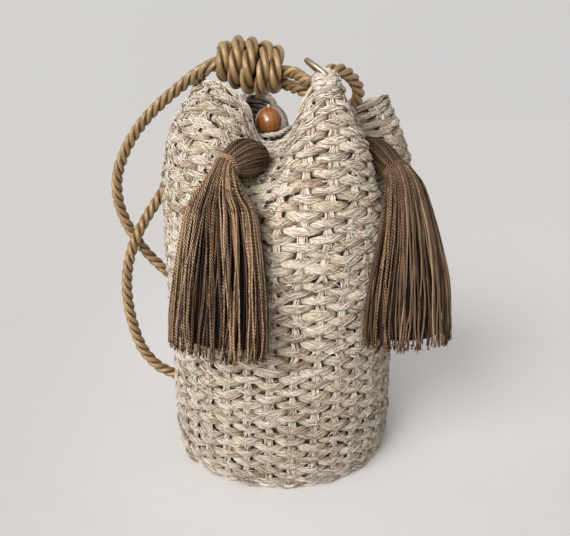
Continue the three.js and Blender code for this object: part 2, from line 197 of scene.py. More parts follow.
class Strands:
    """Closed tubes gathered into one piece, with colour fields on their points and a map of a cell each."""

    def __init__(self):
        self.batches = []

    def add(self, grid, tone=0.5, dark=0.0, warm=0.0, aspect=1.0, flip=False):
        k, r, n, _ = grid.shape
        fields = [np.broadcast_to(np.asarray(x, float), (k, r, n)) for x in (tone, dark, warm)]
        self.batches.append((grid, fields, aspect, flip))
        return self

    def triangles(self):
        return sum(k * ((r - 1) * n * 2 + 2 * (n - 2)) for k, r, n in (b[0].shape[:3] for b in self.batches))

    def piece(self, name, material, slot=None):
        verts, fields, loops, starts, bake, fibre = [], [[], [], []], [], [], [], []
        v0 = l0 = 0
        total = sum(b[0].shape[0] for b in self.batches)
        cell = 0
        mean = sum(b[0].shape[0] * b[2] for b in self.batches) / total
        across = max(1, int(round(math.sqrt(total / mean))))
        down = math.ceil(total / across)
        for grid, field, aspect, flip in self.batches:
            k, r, n, _ = grid.shape
            verts.append(grid.reshape(-1, 3))
            for dst, f in zip(fields, field):
                dst.append(f.reshape(-1))
            idx = v0 + np.arange(k * r * n).reshape(k, r, n)
            j2 = (np.arange(n) + 1) % n
            quad = np.stack([idx[:, :-1], idx[:, :-1, j2], idx[:, 1:, j2], idx[:, 1:]], -1)
            if flip:
                quad = quad[..., ::-1]
            length_mm = np.linalg.norm(np.diff(grid.mean(2), axis=1), axis=-1)
            along = np.concatenate([np.zeros((k, 1)), np.cumsum(length_mm, 1)], 1)
            share = along / np.maximum(along[:, -1:], 1e-9)
            c = cell + np.arange(k)
            cx, cy = (c % across)[:, None, None], (c // across)[:, None, None]
            u0, u1 = share[:, :-1, None], share[:, 1:, None]
            w0, w1 = (np.arange(n) / n)[None, None], ((np.arange(n) + 1) / n)[None, None]
            lay = lambda u, w: np.stack(np.broadcast_arrays((cx + 0.08 + 0.84 * u) / across, (cy + 0.06 + 0.88 * w) / down), -1)
            corner = np.stack([lay(u0, w0), lay(u0, w1), lay(u1, w1), lay(u1, w0)], -2)
            a0, a1 = along[:, :-1, None], along[:, 1:, None]
            keyed = (np.arange(k) * 17.31 + cell * 3.7)[:, None, None]
            mm = lambda u, w: np.stack(np.broadcast_arrays(u, w + keyed), -1)
            strip = np.stack([mm(a0, w0), mm(a0, w1), mm(a1, w1), mm(a1, w0)], -2)
            if flip:
                corner, strip = corner[..., ::-1, :], strip[..., ::-1, :]
            loops.append(quad.reshape(-1))
            starts.append(l0 + 4 * np.arange(quad.size // 4))
            l0 += quad.size
            bake.append(corner.reshape(-1, 2))
            fibre.append(strip.reshape(-1, 2))
            ring = np.stack([np.cos(TAU * np.arange(n) / n), np.sin(TAU * np.arange(n) / n)], -1)
            for end, at in ((0, 0.035), (r - 1, 0.965)):
                cap = idx[:, end]
                if (end == 0) != flip:
                    cap, rr = cap[:, ::-1], ring[::-1]
                else:
                    rr = ring
                loops.append(cap.reshape(-1))
                starts.append(l0 + n * np.arange(k))
                l0 += cap.size
                centre = np.stack([(cx[:, 0, 0] + at) / across, (cy[:, 0, 0] + 0.5) / down], -1)
                bake.append((centre[:, None] + rr[None] * np.array([0.03 / across, 0.4 / down])).reshape(-1, 2))
                fibre.append(np.broadcast_to(mm(along[:, end][:, None, None], np.array([[[0.5]]])).reshape(k, 1, 2) + rr[None] * 0.2, (k, n, 2)).reshape(-1, 2))
            v0 += k * r * n
            cell += k
        return mesh_piece(name, np.concatenate(verts), np.concatenate(loops), np.concatenate(starts), material,
                          [np.concatenate(f) for f in fields], np.concatenate(bake), np.concatenate(fibre))


def mesh_piece(name, verts, loops, starts, material, fields=None, bake=None, fibre=None):
    me = bpy.data.meshes.new(name)
    me.vertices.add(len(verts))
    me.vertices.foreach_set("co", (np.asarray(verts, float) * 0.001).astype(np.float32).ravel())
    me.loops.add(len(loops))
    me.loops.foreach_set("vertex_index", np.asarray(loops, np.int32))
    me.polygons.add(len(starts))
    me.polygons.foreach_set("loop_start", np.asarray(starts, np.int32))
    me.update(calc_edges=True)
    me.validate()
    me.polygons.foreach_set("use_smooth", np.ones(len(me.polygons), bool))
    # the dark field is painted shade: the materials darken the colour by it in grooves, recesses and shaded layers
    for label, f in zip(("tone", "dark", "warm"), fields or ()):
        me.attributes.new(label, "FLOAT", "POINT").data.foreach_set("value", np.asarray(f, np.float32))
    for label, m in (("fibre", fibre), ("OFBake", bake)):
        if m is not None:
            me.uv_layers.new(name=label).data.foreach_set("uv", np.asarray(m, np.float32).ravel())
    me.materials.append(material)
    ob = bpy.data.objects.new(name, me)
    bpy.context.scene.collection.objects.link(ob)
    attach(ob, "root")
    return ob


def lathe_rows(rows, closed_ends, name, material, fields=None):
    """A skin over rings of equal count (M, n, 3). Its ends close on a point each, or the last ring joins the first."""
    m, n, _ = rows.shape
    idx = np.arange(m * n).reshape(m, n)
    j2 = (np.arange(n) + 1) % n
    low, high = (idx[:-1], idx[1:]) if closed_ends else (idx, np.roll(idx, -1, 0))
    quad = np.stack([low, low[:, j2], high[:, j2], high], -1).reshape(-1, 4)
    verts, loops, starts = rows.reshape(-1, 3), [quad.reshape(-1)], [4 * np.arange(len(quad))]
    if closed_ends:
        verts = np.vstack([verts, rows[0].mean(0), rows[-1].mean(0)])
        a, b = m * n, m * n + 1
        f0 = np.stack([np.full(n, a), idx[0, j2], idx[0]], -1)
        f1 = np.stack([np.full(n, b), idx[-1], idx[-1, j2]], -1)
        loops += [f0.reshape(-1), f1.reshape(-1)]
        starts += [quad.size + 3 * np.arange(n), quad.size + 3 * n + 3 * np.arange(n)]
        if fields:
            fields = [np.r_[f.reshape(-1), f[0].mean(), f[-1].mean()] for f in fields]
    elif fields:
        fields = [f.reshape(-1) for f in fields]
    return mesh_piece(name, verts, np.concatenate(loops), np.concatenate(starts), material, fields)


# =====================================================================================
# The cloth: a place (column, row, height over the outer face) becomes a point of the bag
# =====================================================================================
def rim_rows(t):
    n = len(RIM)
    i = np.floor(t).astype(int)
    f = (t - i)[:, None]

    def row(k):
        lap = np.floor_divide(k, n)
        r = RIM[k - lap * n].copy()
        r[:, 0] += 360.0 * lap
        return r

    a, b, c, d = row(i - 1), row(i), row(i + 1), row(i + 2)
    return b + 0.5 * f * (c - a + f * (2 * a - 5 * b + 4 * c - d + f * (3 * (b - c) + d - a)))


GRID_A, GRID_B = 12, 4  # grid places for a column and for a row
_a = np.arange(COLUMNS * GRID_A) / GRID_A
_b = np.arange(-4, (ROWS + 2) * GRID_B + 1) / GRID_B
_t = np.linspace(-6, 30, 7201)
_turns = np.arange(1440) / 4
_rows = rim_rows(np.interp(_turns, rim_rows(_t)[:, 0], _t))


def row_height(b):
    """z of the wall at row b, below the fold."""
    return 4.45 * b + 0.0125 * b * b


def cloth_grid():
    turn = np.radians(_turns)[:, None]
    b = _b[None]
    z_low = row_height(b)
    r_low = np.interp(z_low, ROUND[:, 0], ROUND[:, 1])
    r_low = np.where(z_low < 0, 77.6 + z_low * 2, r_low)
    low = np.stack(np.broadcast_arrays(r_low * np.sin(turn), -r_low * np.cos(turn), z_low), -1)
    x, y, z, ease, swell = (_rows[:, k:k + 1] for k in range(1, 6))

    def fold(u):
        w = u ** ease
        r = FOLD_R + (ROUND_R - FOLD_R) * np.minimum(1, 3 * u) + swell * np.sin(np.pi * np.minimum(u, 1))
        return np.stack([r * np.sin(turn) * (1 - w) + x * w, -r * np.cos(turn) * (1 - w) + y * w, FOLD_Z + (z - FOLD_Z) * u], -1)

    # rows are level low on the fold, and draw together toward the rim where it dips between the lobes
    fine = np.linspace(0, 1.08, 217)
    i = int(RIDGE * 4)
    line = fold(np.broadcast_to(fine, (len(turn), len(fine))))[i]
    run = np.r_[0, np.cumsum(np.linalg.norm(np.diff(line, axis=0), axis=-1))]
    want = np.maximum((b[0] - ROWS_LOW) / ROWS_TOP, 0)
    ridge_u = np.interp(want * np.interp(1.0, fine, run), run, fine)
    most = (z[i] - FOLD_Z) / (z - FOLD_Z)
    t = ridge_u[None] * most
    t0 = np.interp(_turns, [248, 272, 325, 348], [0.4, 0.0, 0.0, 0.4])[:, None]  # the left lobe's rows slant from lower down
    slope = np.where(most > 1, 2 * (1 - t0) / (most - t0) - 1, 1)
    over = np.clip(t - t0, 0, most - t0)
    drawn = np.minimum(t, t0) + over - (1 - slope) * over ** 2 / (2 * (most - t0)) + np.maximum(t - most, 0) * 0.6
    u = np.clip(np.where(most > 1, drawn, ridge_u[None]), 0, 1.08)
    p = np.where((b >= ROWS_LOW)[..., None], fold(u), low)
    # the columns keep an even width along each row, measured from the front lobe's ridge
    step = np.linalg.norm(np.roll(p, -1, 0) - p, axis=-1)
    round_run = np.concatenate([np.zeros((1, step.shape[1])), np.cumsum(step, 0)])
    round_run = 360 * round_run / round_run[-1]
    places = np.r_[_turns, 360.0]
    even_p = np.empty((len(_a), len(_b), 3))
    for j in range(len(_b)):
        shift = RIDGE - np.interp(RIDGE, places, round_run[:, j])
        want_turn = _a * 360 / COLUMNS + PHASE + np.interp(_b[j], *SLANT)
        at = np.interp(np.mod(want_turn - shift, 360), round_run[:, j], places)
        taper = np.clip((_b[j] - ROWS_LOW - 5) / 15, 0, 1)
        at = at + 0.75 * taper ** 2 * (3 - 2 * taper) * (np.mod(want_turn - at + 180, 360) - 180)
        i = np.floor(at * 4).astype(int)
        f = (at * 4 - i)[:, None]
        even_p[:, j] = p[i % len(p), j] * (1 - f) + p[(i + 1) % len(p), j] * f
    p = even_p
    da = np.roll(p, -1, 0) - np.roll(p, 1, 0)
    db = np.gradient(p, axis=1)
    n = unit(np.cross(da, db))
    for _ in range(2):  # the foot's corner and the fold are soft
        n = unit(n + 0.5 * (np.roll(n, 1, 0) + np.roll(n, -1, 0)))
        m = n.copy()
        m[:, 1:-1] += 0.5 * (n[:, 2:] + n[:, :-2])
        n = unit(m)
    return p, n


CLOTH_P, CLOTH_N = cloth_grid()


def cloth(a, b, h):
    """Points of the bag at column a, row b and h mm out of its outer face."""
    fa = np.mod(a, COLUMNS) * GRID_A
    fb = np.clip((b + 1) * GRID_B, 0, len(_b) - 1.001)
    i, j = np.floor(fa).astype(int) % len(_a), np.floor(fb).astype(int)
    u, v = (fa - np.floor(fa))[..., None], (fb - j)[..., None]
    i2 = (i + 1) % len(_a)
    mix = lambda g: (g[i, j] * (1 - u) + g[i2, j] * u) * (1 - v) + (g[i, j + 1] * (1 - u) + g[i2, j + 1] * u) * v
    return mix(CLOTH_P) + np.asarray(h)[..., None] * unit(mix(CLOTH_N))


# =====================================================================================
# Materials
# =====================================================================================
def nodes_of(name):
    mat = bpy.data.materials.new(name)
    mat.use_nodes = True
    nt = mat.node_tree
    for n in list(nt.nodes):
        nt.nodes.remove(n)
    out = nt.nodes.new("ShaderNodeOutputMaterial")
    bsdf = nt.nodes.new("ShaderNodeBsdfPrincipled")
    nt.links.new(bsdf.outputs[0], out.inputs[0])
    return mat, nt, bsdf


def node(nt, kind, **values):
    n = nt.nodes.new(kind)
    for k, v in values.items():
        if k in n.inputs:
            n.inputs[k].default_value = v
        else:
            setattr(n, k, v)
    return n


def attribute(nt, name):
    return node(nt, "ShaderNodeAttribute", attribute_name=name).outputs["Fac"]


def math_node(nt, op, a, b=None, clamp=False):
    n = nt.nodes.new("ShaderNodeMath")
    n.operation = op
    n.use_clamp = clamp
    for i, v in enumerate((a, b)):
        if v is None:
            continue
        if isinstance(v, (int, float)):
            n.inputs[i].default_value = v
        else:
            nt.links.new(v, n.inputs[i])
    return n.outputs[0]


def ramp(nt, fac, stops):
    n = nt.nodes.new("ShaderNodeValToRGB")
    e = n.color_ramp.elements
    while len(e) < len(stops):
        e.new(0.5)
    for x, (pos, col) in zip(e, stops):
        x.position = pos
        x.color = (*col, 1)
    nt.links.new(fac, n.inputs[0])
    return n.outputs[0]


def mix_colour(nt, kind, fac, a, b):
    n = nt.nodes.new("ShaderNodeMix")
    n.data_type = "RGBA"
    n.blend_type = kind
    for socket, v in ((n.inputs[0], fac), (n.inputs[6], a), (n.inputs[7], b)):
        if isinstance(v, (int, float)):
            socket.default_value = v
        elif isinstance(v, tuple):
            socket.default_value = (*v, 1)
        else:
            nt.links.new(v, socket)
    return n.outputs[2]


def fibre_noise(nt, along, around, detail=3.0, rough=0.55):
    """Noise drawn out along the strands, from the map in millimetres along and turns around."""
    uv = node(nt, "ShaderNodeUVMap", uv_map="fibre")
    m = nt.nodes.new("ShaderNodeMapping")
    m.inputs["Scale"].default_value = (along, around, 1)
    nt.links.new(uv.outputs[0], m.inputs[0])
    n = node(nt, "ShaderNodeTexNoise", Scale=1.0, Detail=detail, Roughness=rough)
    nt.links.new(m.outputs[0], n.inputs["Vector"])
    return n.outputs["Fac"]


def object_noise(nt, scale, detail=3.0, rough=0.55):
    tc = nt.nodes.new("ShaderNodeTexCoord")
    n = node(nt, "ShaderNodeTexNoise", Scale=scale, Detail=detail, Roughness=rough)
    nt.links.new(tc.outputs["Object"], n.inputs["Vector"])
    return n.outputs["Fac"]


def bump(nt, height, distance, strength=1.0):
    b = node(nt, "ShaderNodeBump", Strength=strength, Distance=distance)
    nt.links.new(height, b.inputs["Height"])
    return b.outputs[0]


def straw_material(name, shade=1.0):
    mat, nt, bsdf = nodes_of(name)
    streak = fibre_noise(nt, 0.3, 9.0, 4.0, 0.66)
    blot = object_noise(nt, 70.0, 4.0)
    tone = math_node(nt, "ADD", attribute(nt, "tone"), math_node(nt, "MULTIPLY", math_node(nt, "SUBTRACT", streak, 0.5), 1.25))
    tone = math_node(nt, "ADD", tone, math_node(nt, "MULTIPLY", math_node(nt, "SUBTRACT", blot, 0.5), 0.3), clamp=True)
    k = shade
    col = ramp(nt, tone, [
        (0.0, (0.16 * k, 0.105 * k, 0.06 * k)), (0.28, (0.38 * k, 0.295 * k, 0.20 * k)),
        (0.55, (0.63 * k, 0.56 * k, 0.465 * k)), (0.8, (0.76 * k, 0.705 * k, 0.625 * k)), (1.0, (0.835 * k, 0.805 * k, 0.75 * k)),
    ])
    tint = ramp(nt, object_noise(nt, 130.0, 2.0), [(0.34, (1.0, 0.95, 0.95)), (0.5, (1.0, 0.985, 0.985)), (0.66, (0.95, 0.99, 0.935))])
    col = mix_colour(nt, "MULTIPLY", 1.0, col, tint)
    warm = mix_colour(nt, "MULTIPLY", attribute(nt, "warm"), col, (1.0, 0.935, 0.84))
    # painted shade: the colour is multiplied toward dark brown by the dark field
    deep = mix_colour(nt, "MULTIPLY", attribute(nt, "dark"), warm, (0.22, 0.155, 0.10))
    nt.links.new(deep, bsdf.inputs["Base Color"])
    rough = math_node(nt, "ADD", 0.5, math_node(nt, "MULTIPLY", streak, 0.3))
    nt.links.new(rough, bsdf.inputs["Roughness"])
    bsdf.inputs["Specular IOR Level"].default_value = 0.35
    bsdf.inputs["Sheen Weight"].default_value = 0.08
    bsdf.inputs["Sheen Roughness"].default_value = 0.5
    nt.links.new(bump(nt, fibre_noise(nt, 0.2, 16.0, 3.0, 0.6), 0.0009, 0.8), bsdf.inputs["Normal"])
    return mat


def cord_material():
    mat, nt, bsdf = nodes_of("satin_cord")
    fine = fibre_noise(nt, 0.05, 60.0, 2.0)
    wide = fibre_noise(nt, 0.03, 13.0, 2.0)
    tone = math_node(nt, "ADD", attribute(nt, "tone"), math_node(nt, "MULTIPLY", math_node(nt, "SUBTRACT", fine, 0.5), 0.6))
    tone = math_node(nt, "ADD", tone, math_node(nt, "MULTIPLY", math_node(nt, "SUBTRACT", wide, 0.5), 0.8), clamp=True)
    col = ramp(nt, tone, [(0.0, (0.042, 0.023, 0.0095)), (0.4, (0.168, 0.096, 0.042)), (0.7, (0.335, 0.214, 0.104)), (1.0, (0.80, 0.62, 0.40))])
    # painted shade: the colour is multiplied toward dark brown by the dark field, in the grooves between the plies
    deep = mix_colour(nt, "MULTIPLY", attribute(nt, "dark"), col, (0.12, 0.075, 0.04))
    nt.links.new(deep, bsdf.inputs["Base Color"])
    nt.links.new(math_node(nt, "ADD", 0.22, math_node(nt, "MULTIPLY", fine, 0.2)), bsdf.inputs["Roughness"])
    bsdf.inputs["Specular IOR Level"].default_value = 0.9
    bsdf.inputs["Specular Tint"].default_value = (1.0, 0.86, 0.6, 1)
    bsdf.inputs["Sheen Weight"].default_value = 0.2
    bsdf.inputs["Sheen Roughness"].default_value = 0.35
    bsdf.inputs["Sheen Tint"].default_value = (0.95, 0.78, 0.5, 1)
    bsdf.inputs["Coat Weight"].default_value = 0.3
    bsdf.inputs["Coat Roughness"].default_value = 0.28
    bsdf.inputs["Coat Tint"].default_value = (1.0, 0.94, 0.8, 1)
    nt.links.new(bump(nt, fine, 0.0004, 0.6), bsdf.inputs["Normal"])
    return mat


def twist_lines(nt, spacing):
    """Painted highlight and shade of a two-ply twist, from the strands' map."""
    uv = node(nt, "ShaderNodeUVMap", uv_map="fibre")
    parts = nt.nodes.new("ShaderNodeSeparateXYZ")
    nt.links.new(uv.outputs[0], parts.inputs[0])
    phase = math_node(nt, "ADD", math_node(nt, "MULTIPLY", parts.outputs[0], 1 / spacing), math_node(nt, "MULTIPLY", parts.outputs[1], 2.0))
    wave = math_node(nt, "SINE", math_node(nt, "MULTIPLY", phase, TAU))
    return math_node(nt, "ADD", math_node(nt, "MULTIPLY", wave, 0.5), 0.5)


def yarn_material():
    mat, nt, bsdf = nodes_of("tassel_yarn")
    fuzz = fibre_noise(nt, 0.6, 5.0, 3.0)
    ply = twist_lines(nt, 1.65)
    blot = object_noise(nt, 90.0, 3.0)
    slow = fibre_noise(nt, 0.06, 0.3, 2.0)
    tone = math_node(nt, "ADD", attribute(nt, "tone"), math_node(nt, "MULTIPLY", math_node(nt, "SUBTRACT", fuzz, 0.5), 0.6))
    tone = math_node(nt, "ADD", tone, math_node(nt, "MULTIPLY", math_node(nt, "SUBTRACT", slow, 0.5), 0.6))
    tone = math_node(nt, "ADD", tone, math_node(nt, "MULTIPLY", math_node(nt, "SUBTRACT", blot, 0.5), 0.2), clamp=True)
    # painted highlight and shade: the tone rises and falls along the twist of the plies
    tone = math_node(nt, "ADD", tone, math_node(nt, "MULTIPLY", math_node(nt, "SUBTRACT", ply, 0.5), 0.6), clamp=True)
    col = ramp(nt, tone, [(0.0, (0.014, 0.0075, 0.0045)), (0.35, (0.066, 0.037, 0.022)), (0.65, (0.215, 0.128, 0.078)), (1.0, (0.60, 0.42, 0.27))])
    warm = mix_colour(nt, "MULTIPLY", attribute(nt, "warm"), col, (1.0, 0.84, 0.6))
    # painted shade in the grooves between the plies, added to the dark field
    groove_shade = math_node(nt, "MULTIPLY", math_node(nt, "SUBTRACT", 1.0, ply), 0.56)
    shaded = math_node(nt, "ADD", attribute(nt, "dark"), groove_shade, clamp=True)
    deep = mix_colour(nt, "MULTIPLY", shaded, warm, (0.10, 0.062, 0.04))
    nt.links.new(deep, bsdf.inputs["Base Color"])
    nt.links.new(math_node(nt, "ADD", 0.62, math_node(nt, "MULTIPLY", fuzz, 0.25)), bsdf.inputs["Roughness"])
    bsdf.inputs["Specular IOR Level"].default_value = 0.12
    bsdf.inputs["Sheen Weight"].default_value = 0.1
    bsdf.inputs["Sheen Roughness"].default_value = 0.45
    bsdf.inputs["Sheen Tint"].default_value = (0.88, 0.64, 0.46, 1)
    nt.links.new(bump(nt, ply, 0.0008, 0.9), bsdf.inputs["Normal"])
    return mat


def wood_material():
    mat, nt, bsdf = nodes_of("bead_wood")
    tc = nt.nodes.new("ShaderNodeTexCoord")
    m = nt.nodes.new("ShaderNodeMapping")
    m.inputs["Scale"].default_value = (60, 60, 9)
    m.inputs["Rotation"].default_value = (0.5, 0.9, 0.2)
    nt.links.new(tc.outputs["Object"], m.inputs[0])
    grain = node(nt, "ShaderNodeTexNoise", Scale=3.0, Detail=5.0, Roughness=0.6, Distortion=0.7)
    nt.links.new(m.outputs[0], grain.inputs["Vector"])
    wave = node(nt, "ShaderNodeTexWave", Scale=2.2, Distortion=5.0, Detail=3.0)
    wave.bands_direction = "X"
    nt.links.new(m.outputs[0], wave.inputs["Vector"])
    f = math_node(nt, "ADD", math_node(nt, "MULTIPLY", grain.outputs["Fac"], 0.65), math_node(nt, "MULTIPLY", wave.outputs["Fac"], 0.35), clamp=True)
    col = ramp(nt, f, [(0.15, (0.185, 0.058, 0.016)), (0.45, (0.235, 0.080, 0.021)), (0.7, (0.28, 0.102, 0.027)), (0.95, (0.35, 0.14, 0.04))])
    nt.links.new(col, bsdf.inputs["Base Color"])
    nt.links.new(math_node(nt, "ADD", 0.22, math_node(nt, "MULTIPLY", grain.outputs["Fac"], 0.2)), bsdf.inputs["Roughness"])
    bsdf.inputs["Coat Weight"].default_value = 0.7
    bsdf.inputs["Coat Roughness"].default_value = 0.08
    nt.links.new(bump(nt, grain.outputs["Fac"], 0.0003, 0.25), bsdf.inputs["Normal"])
    return mat


def brass_material():
    mat, nt, bsdf = nodes_of("ring_brass")
    wear = object_noise(nt, 220.0, 4.0)
    col = ramp(nt, wear, [(0.3, (0.28, 0.22, 0.15)), (0.6, (0.49, 0.41, 0.30)), (0.8, (0.70, 0.61, 0.48))])
    nt.links.new(col, bsdf.inputs["Base Color"])
    bsdf.inputs["Metallic"].default_value = 1.0
    nt.links.new(math_node(nt, "ADD", 0.2, math_node(nt, "MULTIPLY", wear, 0.25)), bsdf.inputs["Roughness"])
    nt.links.new(bump(nt, wear, 0.0002, 0.2), bsdf.inputs["Normal"])
    return mat


def shade_shell_material():
    # near-black straw: painted shade on the wall behind the stitches
    mat, nt, bsdf = nodes_of("straw_inside_painted_shade")
    f = object_noise(nt, 260.0, 3.0)
    col = ramp(nt, f, [(0.38, (0.018, 0.012, 0.007)), (0.55, (0.055, 0.038, 0.023)), (0.72, (0.15, 0.11, 0.07))])
    nt.links.new(col, bsdf.inputs["Base Color"])
    bsdf.inputs["Roughness"].default_value = 0.9
    bsdf.inputs["Specular IOR Level"].default_value = 0.1
    nt.links.new(bump(nt, f, 0.001, 0.6), bsdf.inputs["Normal"])
    return mat


def floor_material():
    mat, nt, bsdf = nodes_of("pale_floor")
    f = object_noise(nt, 30.0, 4.0)
    col = ramp(nt, f, [(0.2, (0.685, 0.677, 0.672)), (0.8, (0.705, 0.697, 0.692))])
    nt.links.new(col, bsdf.inputs["Base Color"])
    bsdf.inputs["Roughness"].default_value = 0.85
    bsdf.inputs["Specular IOR Level"].default_value = 0.15
    return mat


STRAW, CORD, YARN = straw_material("straw"), cord_material(), yarn_material()
WOOD, BRASS, SHADE_SHELL, FLOOR = wood_material(), brass_material(), shade_shell_material(), floor_material()


# =====================================================================================
# Cord: three plies laid left-handed, 9 mm over all
# =====================================================================================
PLY_R, PLY_AT, LAY = 2.15, 2.46, 24.0


def rope(path, sides=10, ply_r=PLY_R, at=PLY_AT, lay=LAY, start=0.0, first=(0.0, 0.0, 1.0)):
    """Grid of the plies (3, R, sides, 3) along a path of even steps."""
    p = path[None]
    _, n, b = carried(p, first)
    s = np.r_[0, np.cumsum(np.linalg.norm(np.diff(path, axis=0), axis=1))]
    ang = start + TAU * np.arange(3)[:, None] / 3 - TAU * s[None] / lay
    ply = p + at * (np.cos(ang)[..., None] * n + np.sin(ang)[..., None] * b)
    grid = sweep(ply, ply_r, sides)
    off = np.linalg.norm(grid - path[None, :, None], axis=-1)
    # painted shade: the plies darken where they turn in toward the rope's middle, in the grooves between them
    dark = np.clip((4.12 - off * 4.5 / (ply_r + at)) / 1.35, 0, 1)
    return grid, dark


def rope_piece(name, path, nodes, start=0.0):
    grid, dark = rope(path, start=start)
    made = Strands().add(grid, tone=0.55 + 0.05 * np.array([-1, 0, 1])[:, None, None], dark=dark, aspect=30).piece(name, CORD, "cord")
    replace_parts(made, *nodes)
    return made


knot_axis = unit(np.array(KNOT_TO) - np.array(KNOT_FROM))
into_knot = np.array(KNOT_FROM) + 9 * knot_axis
left_path = curve([into_knot + [0, 3.0, -2.0], *STRAP_LEFT], 1.7)
right_path = curve([into_knot + [0, -2.5, -3.0], *STRAP_RIGHT], 1.7)
out_knot = np.array(KNOT_TO) - 9 * knot_axis
eye_path = curve([out_knot + [0, -3.5, 1.0], *STRAP_EYE, out_knot + [0, 3.0, -2.5]], 1.5)

strap_left = rope_piece("strap_left_rope", left_path, ["strap_left"])
strap_right = rope_piece("strap_right_rope", right_path, ["strap_right"], 0.8)
strap_eye = rope_piece("strap_eye_rope", eye_path, ["strap_eye"], 0.4)

# The knot: five wraps of the same cord round its two strands
KNOT_LONG = float(np.linalg.norm(np.array(KNOT_TO) - np.array(KNOT_FROM)))
KNOT_UP = unit(np.array([-knot_axis[2], 0, knot_axis[0]]))
KNOT_FRONT = np.array([0.0, -1.0, 0.0])
KNOT_R = np.array([  # along, radius of the wraps' centre line
    [3.5, 9.0], [6, 10.4], [16, 13.4], [27, 15.2], [38, 15.6], [48, 13.8], [51, 12.2],
])


def knot_path():
    turns = 4.75
    q = np.linspace(0, 1, 900)
    psi = TAU * turns * q - 0.12 * TAU
    along = 4.2 + (KNOT_LONG - 8.6) * q
    r = np.interp(along, KNOT_R[:, 0], KNOT_R[:, 1])
    r = r * np.clip(0.42 + q * 9.0, 0, 1) * np.clip(0.42 + (1 - q) * 9.0, 0, 1)
    wob = 0.6 * np.sin(psi * 0.37 + 0.6) + 0.4 * np.sin(psi * 1.63)
    p = np.array(KNOT_FROM) + (along + wob)[:, None] * knot_axis + (r * np.cos(psi))[:, None] * KNOT_UP + (r * np.sin(psi))[:, None] * KNOT_FRONT
    return even(p, 1.6)


grid, dark = rope(knot_path(), sides=12, ply_r=2.46, at=2.74, lay=40.0)
knot = Strands().add(grid, tone=0.58, dark=dark, aspect=30)
# a dark core inside the wraps: painted shade, with low tone and much dark
core = curve([np.array(KNOT_FROM) + x * knot_axis for x in (2.5, 14, 28, 42, KNOT_LONG - 2.5)], 3.0)
knot.add(sweep(core[None], np.interp(np.linspace(0, 1, len(core)), [0, .15, .85, 1], [5, 8.5, 9.5, 5])[None], 12), tone=0.15, dark=0.8, aspect=1)
knot = knot.piece("strap_knot_wraps", CORD, "cord")
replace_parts(knot, "strap_knot")


# A plain stop knot inside the wall at the end of each strap
def stop_knot(name, path, nodes):
    a, b = np.array(path[-2], float), np.array(path[-1], float)
    ax = unit(b - a)
    e1 = unit(np.cross(ax, [0, 0, 1.0]))
    e2 = np.cross(ax, e1)
    t = np.linspace(0, TAU, 81)
    x = (np.sin(t) + 2 * np.sin(2 * t)) / 3 * 6.0
    y = (np.cos(t) - 2 * np.cos(2 * t)) / 3 * 6.0
    z = -np.sin(3 * t) * 2.6
    p = b + (7.2 + z)[:, None] * ax + x[:, None] * e1 + y[:, None] * e2
    grid, dark = rope(even(p, 1.7), sides=8, ply_r=1.75, at=1.9, lay=19.0)
    made = Strands().add(grid, tone=0.5, dark=dark, aspect=20).piece(name, CORD, "cord")
    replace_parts(made, *nodes)
    return made


stop_left = stop_knot("strap_left_stop_knot", STRAP_LEFT, ["strap_left_stop"])
stop_right = stop_knot("strap_right_stop_knot", STRAP_RIGHT, ["strap_right_stop"])

m = lambda p: tuple(float(x) * 0.001 for x in p)
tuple(m(STRAP_LEFT[0]))
[m(p) for p in left_path]
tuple(m(STRAP_RIGHT[0]))
[m(p) for p in right_path]
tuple(m(STRAP_EYE[0]))
[m(p) for p in eye_path]

# =====================================================================================
# Crochet of the wall: in each row, straw bars alternate with pairs of short legs
# =====================================================================================
def profile(s, xs, ys):
    return np.interp(s, xs, ys)


def ridged(k, r, lobes, depth, jitter, wave):
    """Radial factors (k, r, 2 * lobes) of a strand of fibres: a ridge and a groove in turn."""
    ridge = 1 + jitter * RNG.normal(size=(k, 1, lobes))
    ph = RNG.uniform(0, TAU, (k, 1, lobes))
    s = np.linspace(0, 1, r)[None, :, None]
    ridge = ridge + wave * np.sin(ph + s * TAU * RNG.uniform(0.5, 1.2, (k, 1, lobes)))
    groove_shade = (1 - depth) * np.ones((k, r, lobes))
    return np.stack([ridge, groove_shade], -1).reshape(k, r, 2 * lobes)


def stitch_rows():
    """Column and row of each bar's middle."""
    a, b = [], []
    for k in range(ROWS):
        a.append(2 * np.arange(COLUMNS // 2) + (k % 2))
        b.append(np.full(COLUMNS // 2, k + 0.5))
    return np.concatenate(a).astype(float), np.concatenate(b)


SA, SB = stitch_rows()


def fibre(a, b, high, wide, tall, skew, across):
    """Three-sided fibres, laid along a (across False) or down b (across True)."""
    if across:
        aa = np.stack(np.broadcast_arrays(a + wide, a + skew * wide, a - wide), -1)
        bb = np.broadcast_to(b[..., None], aa.shape)
    else:
        bb = np.stack(np.broadcast_arrays(b + wide, b + skew * wide, b - wide), -1)
        aa = np.broadcast_to(a[..., None], bb.shape)
    hh = np.stack(np.broadcast_arrays(high - 0.35, high + tall, high - 0.35), -1)
    return cloth(aa, bb, np.broadcast_to(hh, aa.shape))


